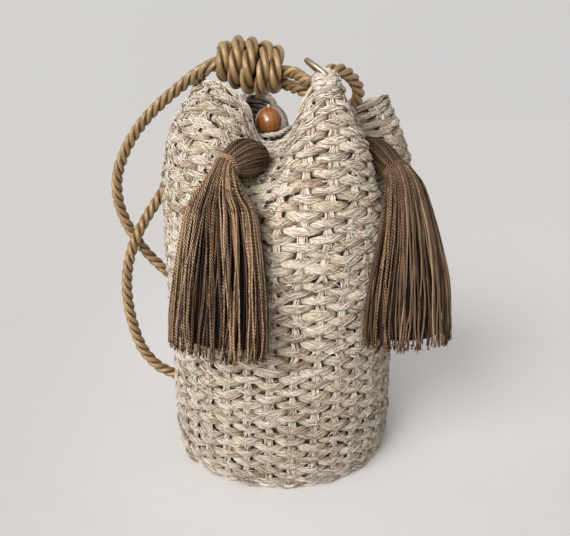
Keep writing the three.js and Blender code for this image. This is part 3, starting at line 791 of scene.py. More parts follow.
def bars(sel):
    """Each bar is a flat bundle of straw. It comes out beside the legs with a blunt end, swells, and goes in thin and deep
    behind the next legs. Gives its body and the fibres over it: some run through, some sweep down to the legs."""
    k, n = len(sel), 7
    at = np.array([0, .07, .24, .5, .76, .93, 1.0])
    r = len(at)
    s = at[None]
    a0, b0 = SA[sel][:, None], SB[sel][:, None]
    rnd = lambda x: x * RNG.normal(size=(k, 1))
    big = np.clip(1.03 + rnd(0.09), 0.8, 1.3)
    reach = np.interp(b0, [1, 3, 24, 34, 42], [0.95, 0.77, 0.78, 0.84, 0.79])
    left, right, shift, tilt = reach + rnd(0.04), reach + 0.03 + rnd(0.04), rnd(0.07), rnd(0.08)
    end0, end1, nudge = rnd(0.18), rnd(0.2), np.clip(rnd(0.4), -0.8, 0.8)
    kink, kink_at = rnd(0.10), RNG.uniform(0, TAU, (k, 1))
    foot = np.clip(1 - b0, 0, 1) * 3.2
    bend = np.interp(b0, [1, 3, 30, 38], [0.05, 0.30, 0.28, 0.10]) * (1 + rnd(0.25))

    def a_at(q):
        return a0 - left + (left + right) * q

    def h_at(q):
        return 0.62 * big * profile(q, at, [.56, .86, 1.02, 1.06, 1.02, .86, .54])

    def b_at(q):
        return b0 + shift + tilt * (a_at(q) - a0) + end0 * (1 - q) ** 3 + end1 * q ** 3 + bend * (np.abs(2 * q - 0.94) ** 1.3 - 0.4) + kink * np.sin(q * 7 + kink_at)

    def lift_at(q):
        return profile(q, at, [-2.7, -1.75, -1.15, -0.95, -1.2, -1.85, -2.8]) + nudge + foot * np.sin(np.pi * q)

    def thick_at(q):
        return big * profile(q, at, [0.75, 1.2, 1.5, 1.6, 1.4, 1.1, 0.85])

    ang = TAU * np.arange(n)[None, None] / n
    grid = cloth(np.broadcast_to(a_at(s)[..., None], (k, r, n)), b_at(s)[..., None] + h_at(s)[..., None] * np.cos(ang),
                 lift_at(s)[..., None] + thick_at(s)[..., None] * np.sin(ang))
    hue = 0.09 * RNG.normal(size=(k, 1, 1))
    # painted shade: the bar's ends darken where they go in beside and behind the legs, its far part is lower in tone
    # where it goes in deep, and its body is darker than the fibres over it
    ends = lambda q: np.clip((0.08 - q) / 0.08, 0, 1) * 0.6 + np.clip((q - 0.66) / 0.3, 0, 1) * 0.25 + np.clip((q - 0.9) / 0.1, 0, 1) * 0.5
    deep = lambda q: 0.14 * np.clip((q - 0.5) / 0.3, 0, 1)
    tone = 0.46 + hue - deep(s)[..., None] + np.zeros((k, r, n))
    out = [(grid, tone, 0.3 + ends(s)[..., None] + 0 * tone, 0.45 + 0 * tone)]
    left_way = [(0.01, .37, -0.05, -0.97), (0.02, .44, 0.28, -0.9), (0.04, .51, 0.6, -0.74), (0.08, .58, 0.9, -0.45), (0.24, .66, 0.97, -0.05)]
    kinds = [(np.linspace(p0, p1, 4)[None], v, w) for p0, p1, v, w in left_way]
    kinds += [(np.linspace(1 - p1, 1 - p0, 4)[None], w, v) for p0, p1, v, w in left_way]
    kinds += [(np.array([.12, .38, .64, .9])[None], 0.9, 0.85)]
    for q, v0, v1 in kinds:
        stray = RNG.uniform(size=(k, 1)) < 0.18
        p = (q - q[:, :1]) / (q[:, -1:] - q[:, :1])
        v = v0 + rnd(0.12) + (v1 - v0) * p + (rnd(0.3) + stray * rnd(0.8)) * (p - 0.5)
        v = np.clip(v + 0.16 * np.sin(p * 7 + RNG.uniform(0, TAU, (k, 1))), -1.1, 1.1)
        qq = np.clip(q + rnd(0.03), 0, 1)
        high = lift_at(qq) + thick_at(qq) * np.sqrt(np.maximum(1 - v * v, 0.02)) + 0.10 + rnd(0.12) + stray * 0.35
        wide = np.abs(0.10 + rnd(0.028)) * profile(p, [0, .2, .8, 1], [.7, 1, 1, .65])
        grid = fibre(a_at(qq), b_at(qq) + h_at(qq) * v, high, wide, 0.54 + rnd(0.15), rnd(0.4), False)
        tone = 0.80 + hue + 0.20 * RNG.normal(size=(k, 1, 1)) - 0.32 * (RNG.uniform(size=(k, 1, 1)) < 0.18) - deep(qq)[..., None] + np.zeros(grid.shape[:3])
        # painted shade on each fibre's two low edges and at the bar's ends; the fibres also turn warmer toward the far
        # end, painted shade on top of a random warmth
        dark = ends(qq)[..., None] + np.array([0.7, 0.0, 0.75])
        warm = np.clip(0.15 + 0.25 * RNG.normal(size=(k, 1, 1)) + 0.45 * np.clip((qq - 0.45) / 0.5, 0, 1)[..., None], 0, 1) + np.zeros(grid.shape[:3])
        out.append((grid, tone, np.clip(dark + np.zeros(grid.shape[:3]), 0, 1), warm))
    return out


def legs(sel, side):
    """One of the two legs that come out of each bar's lower middle, cross the gap between the bars below and spread as
    a brush over the next bar down, with its fibres."""
    k, n = len(sel), 6
    at = np.array([0, .3, .7, 1.0])
    r = len(at)
    s = at[None]
    a0, b0 = SA[sel][:, None], SB[sel][:, None]
    rnd = lambda x: x * RNG.normal(size=(k, 1))
    lean, off, up, fat, nudge = rnd(0.09), side * (0.078 + rnd(0.014)), rnd(0.06), 1 + rnd(0.12), rnd(0.18)

    def a_at(q):
        return a0 + off + lean * (q - 0.5)

    w = 0.070 * fat * profile(s, at, [.85, 1.0, 1.05, .95])
    ang = TAU * np.arange(n)[None, None] / n
    lift = profile(s, at, [-2.1, -1.35, -1.15, -1.4]) + nudge
    thick = profile(s, at, [1.1, 1.2, 1.25, 1.1])
    grid = cloth(a_at(s)[..., None] + w[..., None] * np.cos(ang), np.broadcast_to((b0 - 0.40 - 1.15 * s + up)[..., None], (k, r, n)),
                 lift[..., None] + thick[..., None] * np.sin(ang))
    # painted shade: the leg's top darkens under the bar above, and its body is darker than its fibres
    ends = lambda q: np.clip((0.22 - q) / 0.22, 0, 1) * 0.6
    tone = 0.40 + np.zeros((k, r, n))
    out = [(grid, tone, 0.3 + ends(s)[..., None] + 0 * tone, 0.6 + 0 * tone)]
    q = np.array([0, .25, .62, 1.0])[None]
    for i in range(4):
        v = (i - 1.5) * 0.55 + rnd(0.12)
        fan = side * np.clip(0.08 + rnd(0.09), -0.05, 0.3) + 0.09 * v
        mid = a_at(q) + 0.08 * fat * np.clip(v, -0.95, 0.95) + fan * np.clip((q - 0.55) / 0.45, 0, 1) ** 1.3 + rnd(0.02)
        down = b0 - 0.46 - (1.24 + np.clip(rnd(0.15), -0.3, 0.35)) * q + up
        high = profile(q, q[0], [-0.6, -0.1, 0.14, 0.12]) + nudge - 0.35 * np.minimum(v * v, 1) * np.clip(1 - q, 0, 1)
        wide = np.abs(0.036 + rnd(0.009)) * profile(q, [0, .3, .7, 1], [.7, 1, 1.1, .6])
        grid = fibre(mid, down, high, wide, 0.42 + rnd(0.1), rnd(0.3), True)
        # painted shade: the fibres are lower in tone and warmer toward the top under the bar above, with random tone
        # and warmth, and darker on their two low edges
        tone = 0.50 + 0.17 * RNG.normal(size=(k, 1, 1)) - 0.26 * (RNG.uniform(size=(k, 1, 1)) < 0.16) + 0.24 * q[..., None] + np.zeros(grid.shape[:3])
        dark = np.clip(ends(q)[..., None] + np.array([0.55, 0.0, 0.55]) + np.zeros(grid.shape[:3]), 0, 1)
        warm = np.clip(0.5 + 0.25 * RNG.normal(size=(k, 1, 1)) - 0.35 * q[..., None], 0, 1) + np.zeros(grid.shape[:3])
        out.append((grid, tone, dark, warm))
    return out


def wisps(sel, each, reach=(0.09, 0.24), lean=(0.0, 1.3), dim=(0.4, 0.45)):
    """Loose fibres that lie over the stitches in all directions near the rows'."""
    k = len(sel) * each
    q = np.array([0, .33, .67, 1.0])[None]
    rnd = lambda x: x * RNG.normal(size=(k, 1))
    a0 = np.repeat(SA[sel], each)[:, None] + RNG.uniform(-1, 1, (k, 1))
    b0 = np.repeat(SB[sel], each)[:, None] + RNG.uniform(-0.5, 0.5, (k, 1))
    half = RNG.uniform(*reach, (k, 1))
    slope = lean[0] + rnd(lean[1])
    a = a0 + half * (2 * q - 1)
    b = b0 + slope * half * (2 * q - 1) + rnd(0.16) * (2 * q - 1) ** 2
    high = profile(q, [0, .3, .7, 1], [-0.6, 0.6, 0.6, -0.6]) + rnd(0.3)
    wide = np.abs(0.06 + rnd(0.02)) + 0.02
    bb = np.stack(np.broadcast_arrays(b + wide, b + rnd(0.3) * wide, b - wide), -1)
    hh = np.stack(np.broadcast_arrays(high - 0.15, high + 0.26, high - 0.15), -1)
    grid = cloth(np.broadcast_to(a[..., None], bb.shape), np.clip(bb, 0.1, ROWS), hh)
    tone = 0.72 + 0.16 * RNG.normal(size=(k, 1, 1)) - dim[1] * (RNG.uniform(size=(k, 1, 1)) < dim[0]) + np.zeros(bb.shape)
    return grid, tone, 0.1 + np.zeros(bb.shape), np.clip(0.2 + 0.3 * RNG.normal(size=(k, 1, 1)), 0, 1) + np.zeros(bb.shape)


def inner_bars(sel):
    """Wrong side of the stitches, seen in the mouth."""
    k, r, n = len(sel), 4, 6
    s = np.linspace(0, 1, r)[None]
    a0, b0 = SA[sel][:, None], SB[sel][:, None]
    a = a0 - 0.98 + 1.96 * s
    h = 0.5 * profile(s, [0, .2, .5, .8, 1], [.55, .95, 1.05, .95, .55]) * (1 + 0.07 * RNG.normal(size=(k, 1)))
    lift = profile(s, [0, .2, .5, .8, 1], [-3.5, -4.0, -4.2, -4.0, -3.5])
    ang = TAU * np.arange(n)[None, None] / n + RNG.uniform(0, TAU, (k, 1, 1)) - 1.2 * s[..., None]
    f = np.tile([1.05, 0.85], 3)[None, None]
    grid = cloth(np.broadcast_to(a[..., None], (k, r, n)), b0[..., None] + h[..., None] * f * np.cos(ang), lift[..., None] + 0.9 * f * np.sin(ang))
    tone = 0.5 + 0.1 * RNG.normal(size=(k, 1, 1)) + 0 * ang
    # painted shade in the grooves between the fibres of each strand
    return grid, tone, np.tile([0.1, 0.6], 3)[None, None] + 0 * ang, 0.4 + 0 * ang


turn_of = np.mod(SA * 360 / COLUMNS + PHASE + 180, 360) - 180
sectors = {
    "straw_front": np.abs(turn_of) <= 45,
    "straw_right": (turn_of > 45) & (turn_of <= 135),
    "straw_back": np.abs(turn_of) > 135,
    "straw_left": (turn_of < -45) & (turn_of >= -135),
}
straw_pieces, counted = [], {}
for name, mask in sectors.items():
    sel = np.nonzero(mask)[0]
    made = Strands()
    for g in (*bars(sel), *legs(sel, -1), *legs(sel, 1), wisps(sel, 2)):
        g[0][..., 2] = np.maximum(g[0][..., 2], 0.15)  # the bag stands on its lowest round
        made.add(*g, aspect=1.6)
    counted[name] = made.triangles()
    ob = made.piece(name, STRAW, "straw")
    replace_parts(ob, "bag_body")
    straw_pieces.append(ob)

made = Strands().add(*inner_bars(np.nonzero(SB > ROWS_LOW - 9)[0]), aspect=2)
counted["straw_inner"] = made.triangles()
inner = made.piece("straw_inner", STRAW, "straw")
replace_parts(inner, "bag_body")


# Foot: a round of short loops that stands out in scallops, one for each column
def foot_loops():
    k, r, lobes = COLUMNS, 7, 4
    n = 2 * lobes
    s = np.linspace(0, 1, r)[None]
    a0 = np.arange(COLUMNS)[:, None] + 0.06 * RNG.normal(size=(k, 1))
    a = a0 - 0.56 + 1.12 * s
    h = 0.46 * profile(s, [0, .2, .5, .8, 1], [.5, .9, 1.05, .9, .5]) * (1 + 0.08 * RNG.normal(size=(k, 1)))
    b = 0.42 + 0.0 * s + 0.03 * RNG.normal(size=(k, 1))
    lift = profile(s, [0, .25, .5, .75, 1], [-2.4, -0.5, 0.3, -0.5, -2.4]) + 0.2 * RNG.normal(size=(k, 1))
    ang = TAU * np.arange(n)[None, None] / n + RNG.uniform(0, TAU, (k, 1, 1)) - 1.6 * s[..., None]
    f = ridged(k, r, lobes, 0.22, 0.06, 0.04)
    grid = cloth(np.broadcast_to(a[..., None], (k, r, n)), b[..., None] + h[..., None] * f * np.cos(ang), lift[..., None] + 1.9 * f * np.sin(ang))
    grid[..., 2] = np.maximum(grid[..., 2], 0.15)
    tone = 0.66 + 0.08 * RNG.normal(size=(k, 1, 1)) + np.zeros(grid.shape[:3])
    # painted shade in the grooves between the fibres of each loop
    return grid, tone, np.tile([0.0, 0.6], lobes)[None, None] + 0 * ang, np.clip(0.3 + 0.2 * RNG.normal(size=(k, 1, 1)), 0, 1) + 0 * ang


made = Strands().add(*foot_loops(), aspect=1.4)
counted["straw_foot"] = made.triangles()
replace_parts(made.piece("straw_foot", STRAW, "straw"), "bag_body")


# Edge of the mouth: a chain of loops that lie over the wall's top
def edge_loops():
    out = []
    for side in (-1, 1):
        k, r, lobes = COLUMNS, 7, 4
        n = 2 * lobes
        s = np.linspace(0, 1, r)[None]
        a0 = np.arange(COLUMNS)[:, None] + 0.25 * side
        a = a0 - 0.7 + 1.25 * s
        h = 0.36 * profile(s, [0, .2, .5, .8, 1], [.45, .85, 1.05, .9, .5]) * (1 + 0.08 * RNG.normal(size=(k, 1)))
        b = ROWS + 0.02 + 0.10 * np.sin(np.pi * s) + 0.03 * RNG.normal(size=(k, 1))
        lift = -WALL / 2 + side * profile(s, [0, .3, .7, 1], [0.1, 1.2, 1.35, 0.5])
        ang = TAU * np.arange(n)[None, None] / n + RNG.uniform(0, TAU, (k, 1, 1)) - 1.6 * s[..., None]
        f = ridged(k, r, lobes, 0.22, 0.06, 0.04)
        grid = cloth(np.broadcast_to(a[..., None], (k, r, n)), b[..., None] + h[..., None] * f * np.cos(ang), lift[..., None] + 1.6 * f * np.sin(ang))
        tone = 0.68 + 0.08 * RNG.normal(size=(k, 1, 1)) + 0 * s[..., None] + 0 * ang
        # painted shade in the grooves between the fibres of each loop
        out.append((grid, tone, np.tile([0.0, 0.6], lobes)[None, None] + 0 * ang, np.clip(0.3 + 0.2 * RNG.normal(size=(k, 1, 1)), 0, 1) + 0 * ang))
    return out


edge = Strands()
for g in edge_loops():
    edge.add(*g, aspect=1.4)
counted["straw_edge"] = edge.triangles()
edge = edge.piece("straw_edge", STRAW, "straw")
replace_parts(edge, "bag_body")


# Base: a spiral of rounds worked from the middle, as thick as the wall
def base_spiral():
    pitch = 5.0
    turns = 76.6 / pitch
    q = np.linspace(0.12, 1, 4000) ** 0.5
    ang = TAU * turns * q
    r = 76.6 * q
    p = even(np.stack([r * np.sin(ang), -r * np.cos(ang), np.full_like(q, 2.5)], 1), 2.7)
    rr, n = len(p), 8
    s = np.arange(rr)
    out = unit(p * [1, 1, 0])
    swell = 1 + 0.10 * np.sin(s * TAU / 3.0) + 0.04 * RNG.normal(size=rr)
    a = TAU * np.arange(n)[None] / n - 0.35 * s[:, None]
    f = np.tile([1.05, 0.84], 4)[None] * swell[:, None]
    grid = p[:, None] + (2.7 * f * np.cos(a))[..., None] * out[:, None] + (2.3 * f * np.sin(a))[..., None] * np.array([0, 0, 1.0])
    grid[..., 2] = np.maximum(grid[..., 2], 0.06)
    tone = 0.6 + 0.08 * np.sin(s * 0.37)[:, None] + 0.08 * RNG.normal(size=(rr, 1)) + 0 * a
    # painted shade in the grooves between the fibres of the spiral
    return grid[None], tone[None], (np.tile([0.05, 0.65], 4)[None] + 0 * a)[None], 0.4


base = Strands().add(*base_spiral(), aspect=60)
counted["straw_base"] = base.triangles()
base = base.piece("straw_base", STRAW, "straw")
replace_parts(base, "bag_body")


# Ground of the stitches: a thin wall behind them, closed at the base, coloured near-black as painted shade in the gaps
def ground():
    n = 136
    a = np.arange(n) * COLUMNS / n
    rows = []
    for r in (20.0, 50.0, 71.6):
        turn = np.radians(a * 360 / COLUMNS + PHASE)
        rows.append(np.stack([r * np.sin(turn), -r * np.cos(turn), np.full(n, 1.9)], -1))
    levels = np.r_[np.arange(0.55, ROWS_LOW, 2.5), np.arange(ROWS_LOW, ROWS - 0.1, 1.0), ROWS - 0.15]
    rows += [cloth(a, np.full(n, b), np.full(n, -2.7)) for b in levels]
    rows += [cloth(a, np.full(n, b), np.full(n, -3.7)) for b in levels[::-1]]
    for r in (70.6, 50.0, 20.0):
        turn = np.radians(a * 360 / COLUMNS + PHASE)
        rows.append(np.stack([r * np.sin(turn), -r * np.cos(turn), np.full(n, 3.1)], -1))
    return lathe_rows(np.array(rows), True, "straw_ground", SHADE_SHELL)


ground = ground()
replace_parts(ground, "bag_body")

# =====================================================================================
# Ring, its straw tab, the bead and its loop
# =====================================================================================
ring_axis = unit(np.array(RING_AXIS))
ring_x = unit(np.cross(ring_axis, [0, 1.0, 0]))
ring_y = np.cross(ring_axis, ring_x)
t = TAU * np.arange(96) / 96
ring_line = np.array(RING_AT) + RING_R * (np.cos(t)[:, None] * ring_x + np.sin(t)[:, None] * ring_y)
c = TAU * np.arange(16) / 16
radial = unit(ring_line - np.array(RING_AT))
ring_rows = ring_line[:, None] + RING_WIRE / 2 * (np.cos(c)[None, :, None] * radial[:, None] + np.sin(c)[None, :, None] * ring_axis)
ring = lathe_rows(ring_rows[:, ::-1], False, "lobe_ring_brass", BRASS)
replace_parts(ring, "lobe_ring")


def tab_stitches():
    """Small straw stitches that close over the ring at the lobe's tip, in brick order."""
    out = []
    radii = np.array(TAB_R) - [1.2, 1.0, 1.2]

    def shell(lon, lat, h):
        d = np.stack([np.cos(lat) * np.sin(lon), -np.cos(lat) * np.cos(lon), np.sin(lat)], -1)
        return np.array(TAB_AT) + d * radii + np.asarray(h)[..., None] * unit(d / radii)

    lon0, lat0 = [], []
    for j, lat in enumerate(np.radians([-62, -42, -22, -2, 18, 38, 58, 76])):
        count = max(3, int(round(8 * math.cos(lat))))
        lon0.append(TAU * (np.arange(count) + 0.5 * (j % 2)) / count)
        lat0.append(np.full(count, lat))
    lon0, lat0 = np.concatenate(lon0)[:, None], np.concatenate(lat0)[:, None]
    k = len(lon0)
    rnd = lambda x: x * RNG.normal(size=(k, 1))
    lon0, lat0 = lon0 + rnd(0.08), lat0 + rnd(0.04)
    half = 0.50 / np.maximum(np.cos(lat0), 0.35)
    s = np.array([0, .15, .45, .75, 1.0])[None]
    tilt, big = rnd(0.12), 1 + rnd(0.12)
    ang = TAU * np.arange(6)[None, None] / 6
    lon = lon0 + half * (2 * s - 1)
    lat = lat0 + tilt * (2 * s - 1)
    h = 0.21 * big * profile(s, s[0], [.5, .9, 1.05, .9, .5])
    lift = profile(s, s[0], [-1.2, -0.1, 0.3, 0.0, -1.2])
    grid = shell(np.broadcast_to(lon[..., None], (k, 5, 6)), lat[..., None] + h[..., None] * np.cos(ang), lift[..., None] + 1.1 * np.sin(ang))
    tone = 0.5 + 0.06 * RNG.normal(size=(k, 1, 1)) + np.zeros((k, 5, 6))
    # painted shade: the stitches' bodies are darker than the fibres over them
    out.append((grid, tone, 0.3 + 0 * tone, 0.4 + 0 * tone))
    for v in (-0.8, -0.3, 0.2, 0.7):
        vv = np.clip(v + rnd(0.15) + rnd(0.3) * (2 * s - 1), -0.97, 0.97)
        mid, high = lat + h * vv, lift + 1.1 * np.sqrt(1 - vv * vv) + 0.1
        wide = np.abs(0.042 + rnd(0.01)) * profile(s, [0, .2, .8, 1], [.7, 1, 1, .7])
        bb = np.stack([mid + wide, mid + rnd(0.3) * wide, mid - wide], -1)
        hh = np.stack([high - 0.3, high + 0.42, high - 0.3], -1)
        grid = shell(np.broadcast_to(lon[..., None], bb.shape), bb, hh)
        tone = 0.80 + 0.15 * RNG.normal(size=(k, 1, 1)) + np.zeros(bb.shape)
        # painted shade on each fibre's two low edges
        out.append((grid, tone, np.array([0.35, 0.0, 0.35]) + np.zeros(bb.shape), np.clip(0.2 + 0.25 * RNG.normal(size=(k, 1, 1)), 0, 1) + np.zeros(bb.shape)))
    return out


tab = Strands()
for g in tab_stitches():
    tab.add(*g, aspect=1.4)
counted["straw_tab"] = tab.triangles()
tab = tab.piece("straw_tab", STRAW, "straw")
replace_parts(tab, "bag_body")


def straw_twist(path, diameter, tone=0.66):
    """Three straw strands twisted together."""
    p = path[None]
    _, nn, bb = carried(p)
    s = np.r_[0, np.cumsum(np.linalg.norm(np.diff(path, axis=0), axis=1))]
    ang = TAU * np.arange(3)[:, None] / 3 + TAU * s[None] / (3.4 * diameter)
    at = 0.25 * diameter
    ply = p + at * (np.cos(ang)[..., None] * nn + np.sin(ang)[..., None] * bb)
    k, r, _ = ply.shape
    f = ridged(k, r, 4, 0.2, 0.05, 0.03)
    grid = sweep(ply, 0.25 * diameter * np.ones((k, r)), 8, f)
    # painted shade in the grooves between the fibres of each strand
    return grid, tone + np.repeat(0.06 * RNG.normal(size=(k, 1, 4)), 2, -1) + np.zeros((k, r, 8)), np.tile([0.0, 0.5], 4)[None, None] + np.zeros((k, r, 8)), 0.3


loop_path = curve([[13.5, 22.5, 236.0], *LOOP, [3.0, 24.0, 236.0]], 1.3)
loop = Strands().add(*straw_twist(loop_path, STRAW_D), aspect=20)
counted["bead_loop_straw"] = loop.triangles()
loop = loop.piece("bead_loop_straw", STRAW, "straw")
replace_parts(loop, "bead_loop")
stem_path = curve([*STEM, [-15.4, -24, 239.2]], 1.2)
stem = Strands().add(*straw_twist(stem_path, STEM_D), aspect=10)
counted["bead_stem_straw"] = stem.triangles()
stem = stem.piece("bead_stem_straw", STRAW, "straw")
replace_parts(stem, "bead_stem")


def bead():
    r, b, edge_r = BEAD_D / 2, BORE_D / 2, 0.5
    n = 64
    start = math.asin((b + edge_r) / r)
    th = np.linspace(start, math.pi - start, 33)
    prof = [(r * math.sin(x), -r * math.cos(x)) for x in th]
    top = prof[-1][1]
    prof += [(b + 0.15, top - 0.05), (b, top - 0.5), (b, 0.0), (b, -top + 0.5), (b + 0.15, -top + 0.05)]
    a = TAU * np.arange(n) / n
    rows = np.array([[(x * math.cos(t), x * math.sin(t), z) for t in a] for x, z in prof]) + np.array(BEAD_AT)
    return lathe_rows(rows, False, "closure_bead_wood", WOOD)


bead = bead()
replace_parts(bead, "closure_bead")


# =====================================================================================
# Tassels
# =====================================================================================
def tassel(name, table, side, nodes, shaded):
    last = len(table) - 1
    side = np.array(side, float)

    def at(q):
        row = table_at(table, q)
        e = 0.05
        t = unit(table_at(table, np.clip(q + e, 0, last))[..., :3] - table_at(table, np.clip(q - e, 0, last))[..., :3])
        w = unit(side - t * (t @ side)[..., None])
        return row, w, np.cross(t, w)

    def lay(q, rho, phi):
        row, w, d = at(q)
        return row[..., :3] + (row[..., 3] * rho * np.cos(phi))[..., None] * w + (row[..., 4] * rho * np.sin(phi))[..., None] * d

    made = Strands()
    # Skirt: a loose outer layer of twisted yarn over closer layers that lie in its shade; that shade is painted, as
    # lower tone and more dark for each layer further in
    for count, inner, outer, rings, sides, lumps, shade in ((98, 0.95, 1.02, 40, 5, True, 0.0), (80, 0.88, 0.95, 28, 4, False, 0.26), (46, 0.60, 0.82, 14, 4, False, 0.85)):
        k, r = count, rings
        phi0 = TAU * (np.arange(k) + 0.32 * RNG.normal(size=k)) / k
        rho0 = RNG.uniform(inner, outer, k)
        q0 = NECK - 0.15
        end = last + 0.04 - np.abs(RNG.normal(size=k)) * 0.21
        s = np.linspace(0, 1, r)
        q = q0 + (end - q0)[:, None] * s[None]
        drift = (0.07 + 0.16 * (RNG.uniform(size=(k, 1)) < 0.25)) * RNG.normal(size=(k, 1)) * s[None] ** 1.3
        ph = RNG.uniform(0, TAU, (k, 3))
        wav = 0.07 * np.sin(ph[:, :1] + s[None] * TAU * RNG.uniform(0.8, 2.2, (k, 1))) * s[None] + 0.006 * np.sin(ph[:, 2:] + s[None] * TAU * RNG.uniform(4, 8, (k, 1)))
        rho = rho0[:, None] * (1 + 0.03 * np.sin(ph[:, 1:2] + s[None] * TAU * RNG.uniform(0.7, 1.8, (k, 1))) * s[None])
        rho = np.minimum(rho, 1.03) * (0.94 + 0.06 * np.clip(s[None] * 5, 0, 1) + 0.13 * np.exp(-((s[None] - 0.11) / 0.08) ** 2))
        paths = lay(q, rho, phi0[:, None] + drift + wav)
        yarn = 0.51 * (1 + 0.14 * RNG.normal(size=(k, 1))) * profile(s, [0, .08, .25, 1], [.8, .85, 1, 1])[None]
        arc = np.concatenate([np.zeros((k, 1)), np.cumsum(np.linalg.norm(np.diff(paths, axis=1), axis=-1), 1)], 1)
        if lumps:
            lump = 1 + 0.18 * np.cos(2 * TAU * np.arange(sides) / sides)[None, None] * np.ones((k, r, 1))
            grid = sweep(paths, yarn, sides, lump, arc * (math.pi / 7.0) + ph[:, :1])
        else:
            grid = sweep(paths, yarn, sides)
        # painted shade: the inner layers (shade) and the whole right tassel (shaded) are lower in tone and darker, and
        # the strands darken near the neck under the tie
        tone = 0.49 - shaded + 0.19 * RNG.normal(size=(k, 1, 1)) + (RNG.uniform(size=(k, 1, 1)) < 0.25) * 0.33 - 0.35 * shade + np.zeros((k, r, sides))
        dark = shade + 0.5 * np.clip((0.07 - s) / 0.07, 0, 1)[None, :, None] + np.zeros((k, r, sides))
        warm = np.clip(0.15 + 0.35 * RNG.normal(size=(k, 1, 1)) + 0.6 * np.clip((s - 0.92) / 0.08, 0, 1)[None, :, None] + np.zeros((k, r, sides)), 0, 1)
        made.add(grid, tone, np.minimum(dark, 1), warm, aspect=8)
        # frayed ends
        tips = np.repeat(paths[:, -2:], 3, 0)
        way = unit(tips[:, 1] - tips[:, 0] + 0.9 * np.linalg.norm(tips[:, 1] - tips[:, 0], axis=-1)[:, None] * 0.5 * RNG.normal(size=(3 * k, 3)))
        long = RNG.uniform(1.2, 3.4, (3 * k, 1, 1))
        hairs = tips[:, :1] + way[:, None] * long * np.array([0, 0.5, 1.0])[None, :, None]
        hairs[:, 2] += 0.5 * RNG.normal(size=(3 * k, 3))
        grid = sweep(hairs, np.array([0.34, 0.28, 0.12])[None] * np.ones((3 * k, 1)), 3)
        # the frayed ends of the inner layers are painted darker too, as shade
        made.add(grid, 0.62 + 0.2 * RNG.normal(size=(3 * k, 1, 1)) - 0.3 * shade + np.zeros((3 * k, 3, 3)), 0.6 * shade, 0.9, aspect=8)
    # Head: the same yarn folded over, from the tip to the tie; its lower layer and the strands near the tie are painted
    # darker as shade
    for k, sunk, shade in ((108, 0.4, 0.0), (60, 1.1, 0.5)):
        r, sides = 18, 4
        phi0 = TAU * (np.arange(k) + 0.16 * RNG.normal(size=k)) / k
        s = np.linspace(0, 1, r)
        q = np.broadcast_to((NECK + 0.3) * s[None], (k, r))
        wide = table_at(table, q)[..., 3]
        rho = 1 - sunk / np.maximum(wide, 3.0) + 0.012 * RNG.normal(size=(k, 1))
        paths = lay(q, rho, phi0[:, None] + 0.35 * (s[None] - 0.5) + 0.03 * RNG.normal(size=(k, 1)) * np.sin(np.pi * s)[None])
        grid = sweep(paths, 0.38 * np.minimum(1.0, wide / 9.0 + 0.2), sides)
        tone = 0.34 - shaded + 0.13 * RNG.normal(size=(k, 1, 1)) + 0.1 * ((-1.0) ** np.arange(k))[:, None, None] - 0.3 * shade + np.zeros((k, r, sides))
        made.add(grid, tone, np.clip(shade + 0.4 * np.clip((s - 0.85) / 0.15, 0, 1), 0, 1)[None, :, None] + np.zeros((k, r, sides)), 0.15, aspect=8)
    # Core that fills the head and the skirt's middle, coloured near-black as painted shade
    q = np.linspace(0.05, last - 0.45, 30)
    row, w, d = at(q)
    a = TAU * np.arange(20) / 20
    fat = np.interp(q, [0, NECK - 0.5, NECK, NECK + 1.5, last], [0.85, 0.85, 0.8, 0.72, 0.70])
    body = row[:, None, :3] + ((row[:, 3] * fat)[:, None] * np.cos(a))[..., None] * w[:, None] + ((row[:, 4] * fat)[:, None] * np.sin(a))[..., None] * d[:, None]
    made.add(body[None], 0.05, 1.0, 0.1, aspect=1)
    counted[name] = made.triangles()
    ob = made.piece(name, YARN, "tassel")
    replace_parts(ob, nodes[0])
    # Tie: a few close turns of yarn round the neck
    row, w, d = at(np.array([float(NECK)]))
    t = np.cross(w, d)[0]
    ang = np.linspace(0, TAU * 3.6, 160)
    rad = table[NECK][3] + 0.55 + 0.25 * np.sin(ang * 0.5)
    lift = (ang / TAU - 1.8) * 0.9 + 0.25 * np.sin(ang * 1.3)
    p = row[0, :3] + (rad * np.cos(ang))[:, None] * w[0] + (rad * np.sin(ang))[:, None] * d[0] + lift[:, None] * t
    ends = np.clip(np.minimum(ang, ang[-1] - ang) / 0.5, 0, 1)
    p = p - (1 - ends)[:, None] * 1.6 * unit(p - row[0, :3])
    grid = sweep(p[None], 0.68, 6)
    # painted shade: the right tassel's tie is darker by twice its shaded
    tie = Strands().add(grid, 0.68 - 2 * shaded, 0.0, 0.1, aspect=30)
    counted[name + "_tie"] = tie.triangles()
    tie = tie.piece(name + "_tie", YARN, "tassel")
    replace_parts(tie, nodes[1])
    return ob, tie


tassel("tassel_left_yarn", TASSEL_LEFT, SIDE_LEFT, ["tassel_left", "tassel_left_tie"], 0.0)
# the right tassel is painted darker (shaded 0.11) for the shade it lies in
tassel("tassel_right_yarn", TASSEL_RIGHT, SIDE_RIGHT, ["tassel_right", "tassel_right_tie"], 0.11)

# Short slanting fibres that roughen the left lobe
rough = np.nonzero((turn_of > -125) & (turn_of < -15) & (SB > ROWS_LOW))[0]
made = Strands().add(*wisps(rough, 9, (0.07, 0.17), (-2.4, 1.1), (0.45, 0.58)), aspect=1.6)
counted["straw_fuzz"] = made.triangles()
fuzz = made.piece("straw_fuzz", STRAW, "straw")
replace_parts(fuzz, "bag_body")

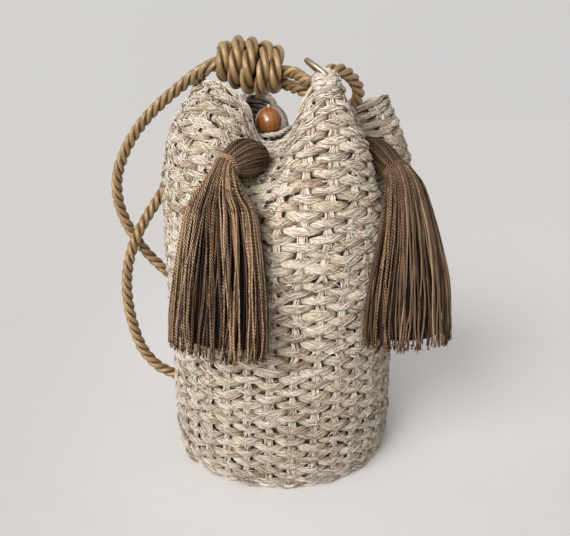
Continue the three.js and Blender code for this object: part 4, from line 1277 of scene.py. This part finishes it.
# =====================================================================================
# Floor and light
# =====================================================================================
floor_mesh = bpy.data.meshes.new("floor")
floor_mesh.from_pydata([(-20, -20, 0), (20, -20, 0), (20, 20, 0), (-20, 20, 0)], [], [(0, 1, 2, 3)])
floor_mesh.materials.append(FLOOR)
floor = bpy.data.objects.new("floor", floor_mesh)
floor.location.z = -0.0003
bpy.context.scene.collection.objects.link(floor)


def sun(name, toward, angle, strength, colour=(1, 1, 1)):
    data = bpy.data.lights.new(name, "SUN")
    data.angle = math.radians(angle)
    data.energy = strength
    data.color = colour
    ob = bpy.data.objects.new(name, data)
    ob.rotation_euler = Vector(toward).to_track_quat("-Z", "Y").to_euler()
    ob.location = (0, 0, 2)
    bpy.context.scene.collection.objects.link(ob)


sun("key", (0.74, 0.86, -0.68), 34, 1.91, (1.0, 0.985, 0.96))
lamp_data = bpy.data.lights.new("lamp", "SPOT")
lamp_data.shadow_soft_size = 0.14
lamp_data.spot_size, lamp_data.spot_blend = math.radians(50), 1.0
lamp_data.energy = 16.2
lamp_data.color = (1.0, 0.985, 0.96)
lamp = bpy.data.objects.new("lamp", lamp_data)
lamp.location = (-0.14, -0.52, 0.36)
lamp.rotation_euler = (Vector((0.012, -0.05, 0.172)) - lamp.location).to_track_quat("-Z", "Y").to_euler()
lamp.visible_camera = False
bpy.context.scene.collection.objects.link(lamp)

world = bpy.data.worlds.new("studio")
world.use_nodes = True
wt = world.node_tree
back = wt.nodes["Background"]
coord = wt.nodes.new("ShaderNodeTexCoord")
parts = wt.nodes.new("ShaderNodeSeparateXYZ")
wt.links.new(coord.outputs["Generated"], parts.inputs[0])
side = math_node(wt, "ADD", math_node(wt, "MULTIPLY", parts.outputs[0], 0.5), 0.5)
tint = lambda v: (v, v * 0.975, v * 0.955)
wt.links.new(ramp(wt, side, [(0.0, tint(0.86)), (0.28, tint(0.635)), (0.72, tint(0.60)), (1.0, tint(0.30))]), back.inputs["Color"])
back.inputs["Strength"].default_value = 1.05
bpy.context.scene.world = world
bpy.context.scene.view_settings.view_transform = "Standard"
bpy.context.scene.view_settings.look = "None"

# =====================================================================================
print("triangles", counted, sum(counted.values()))
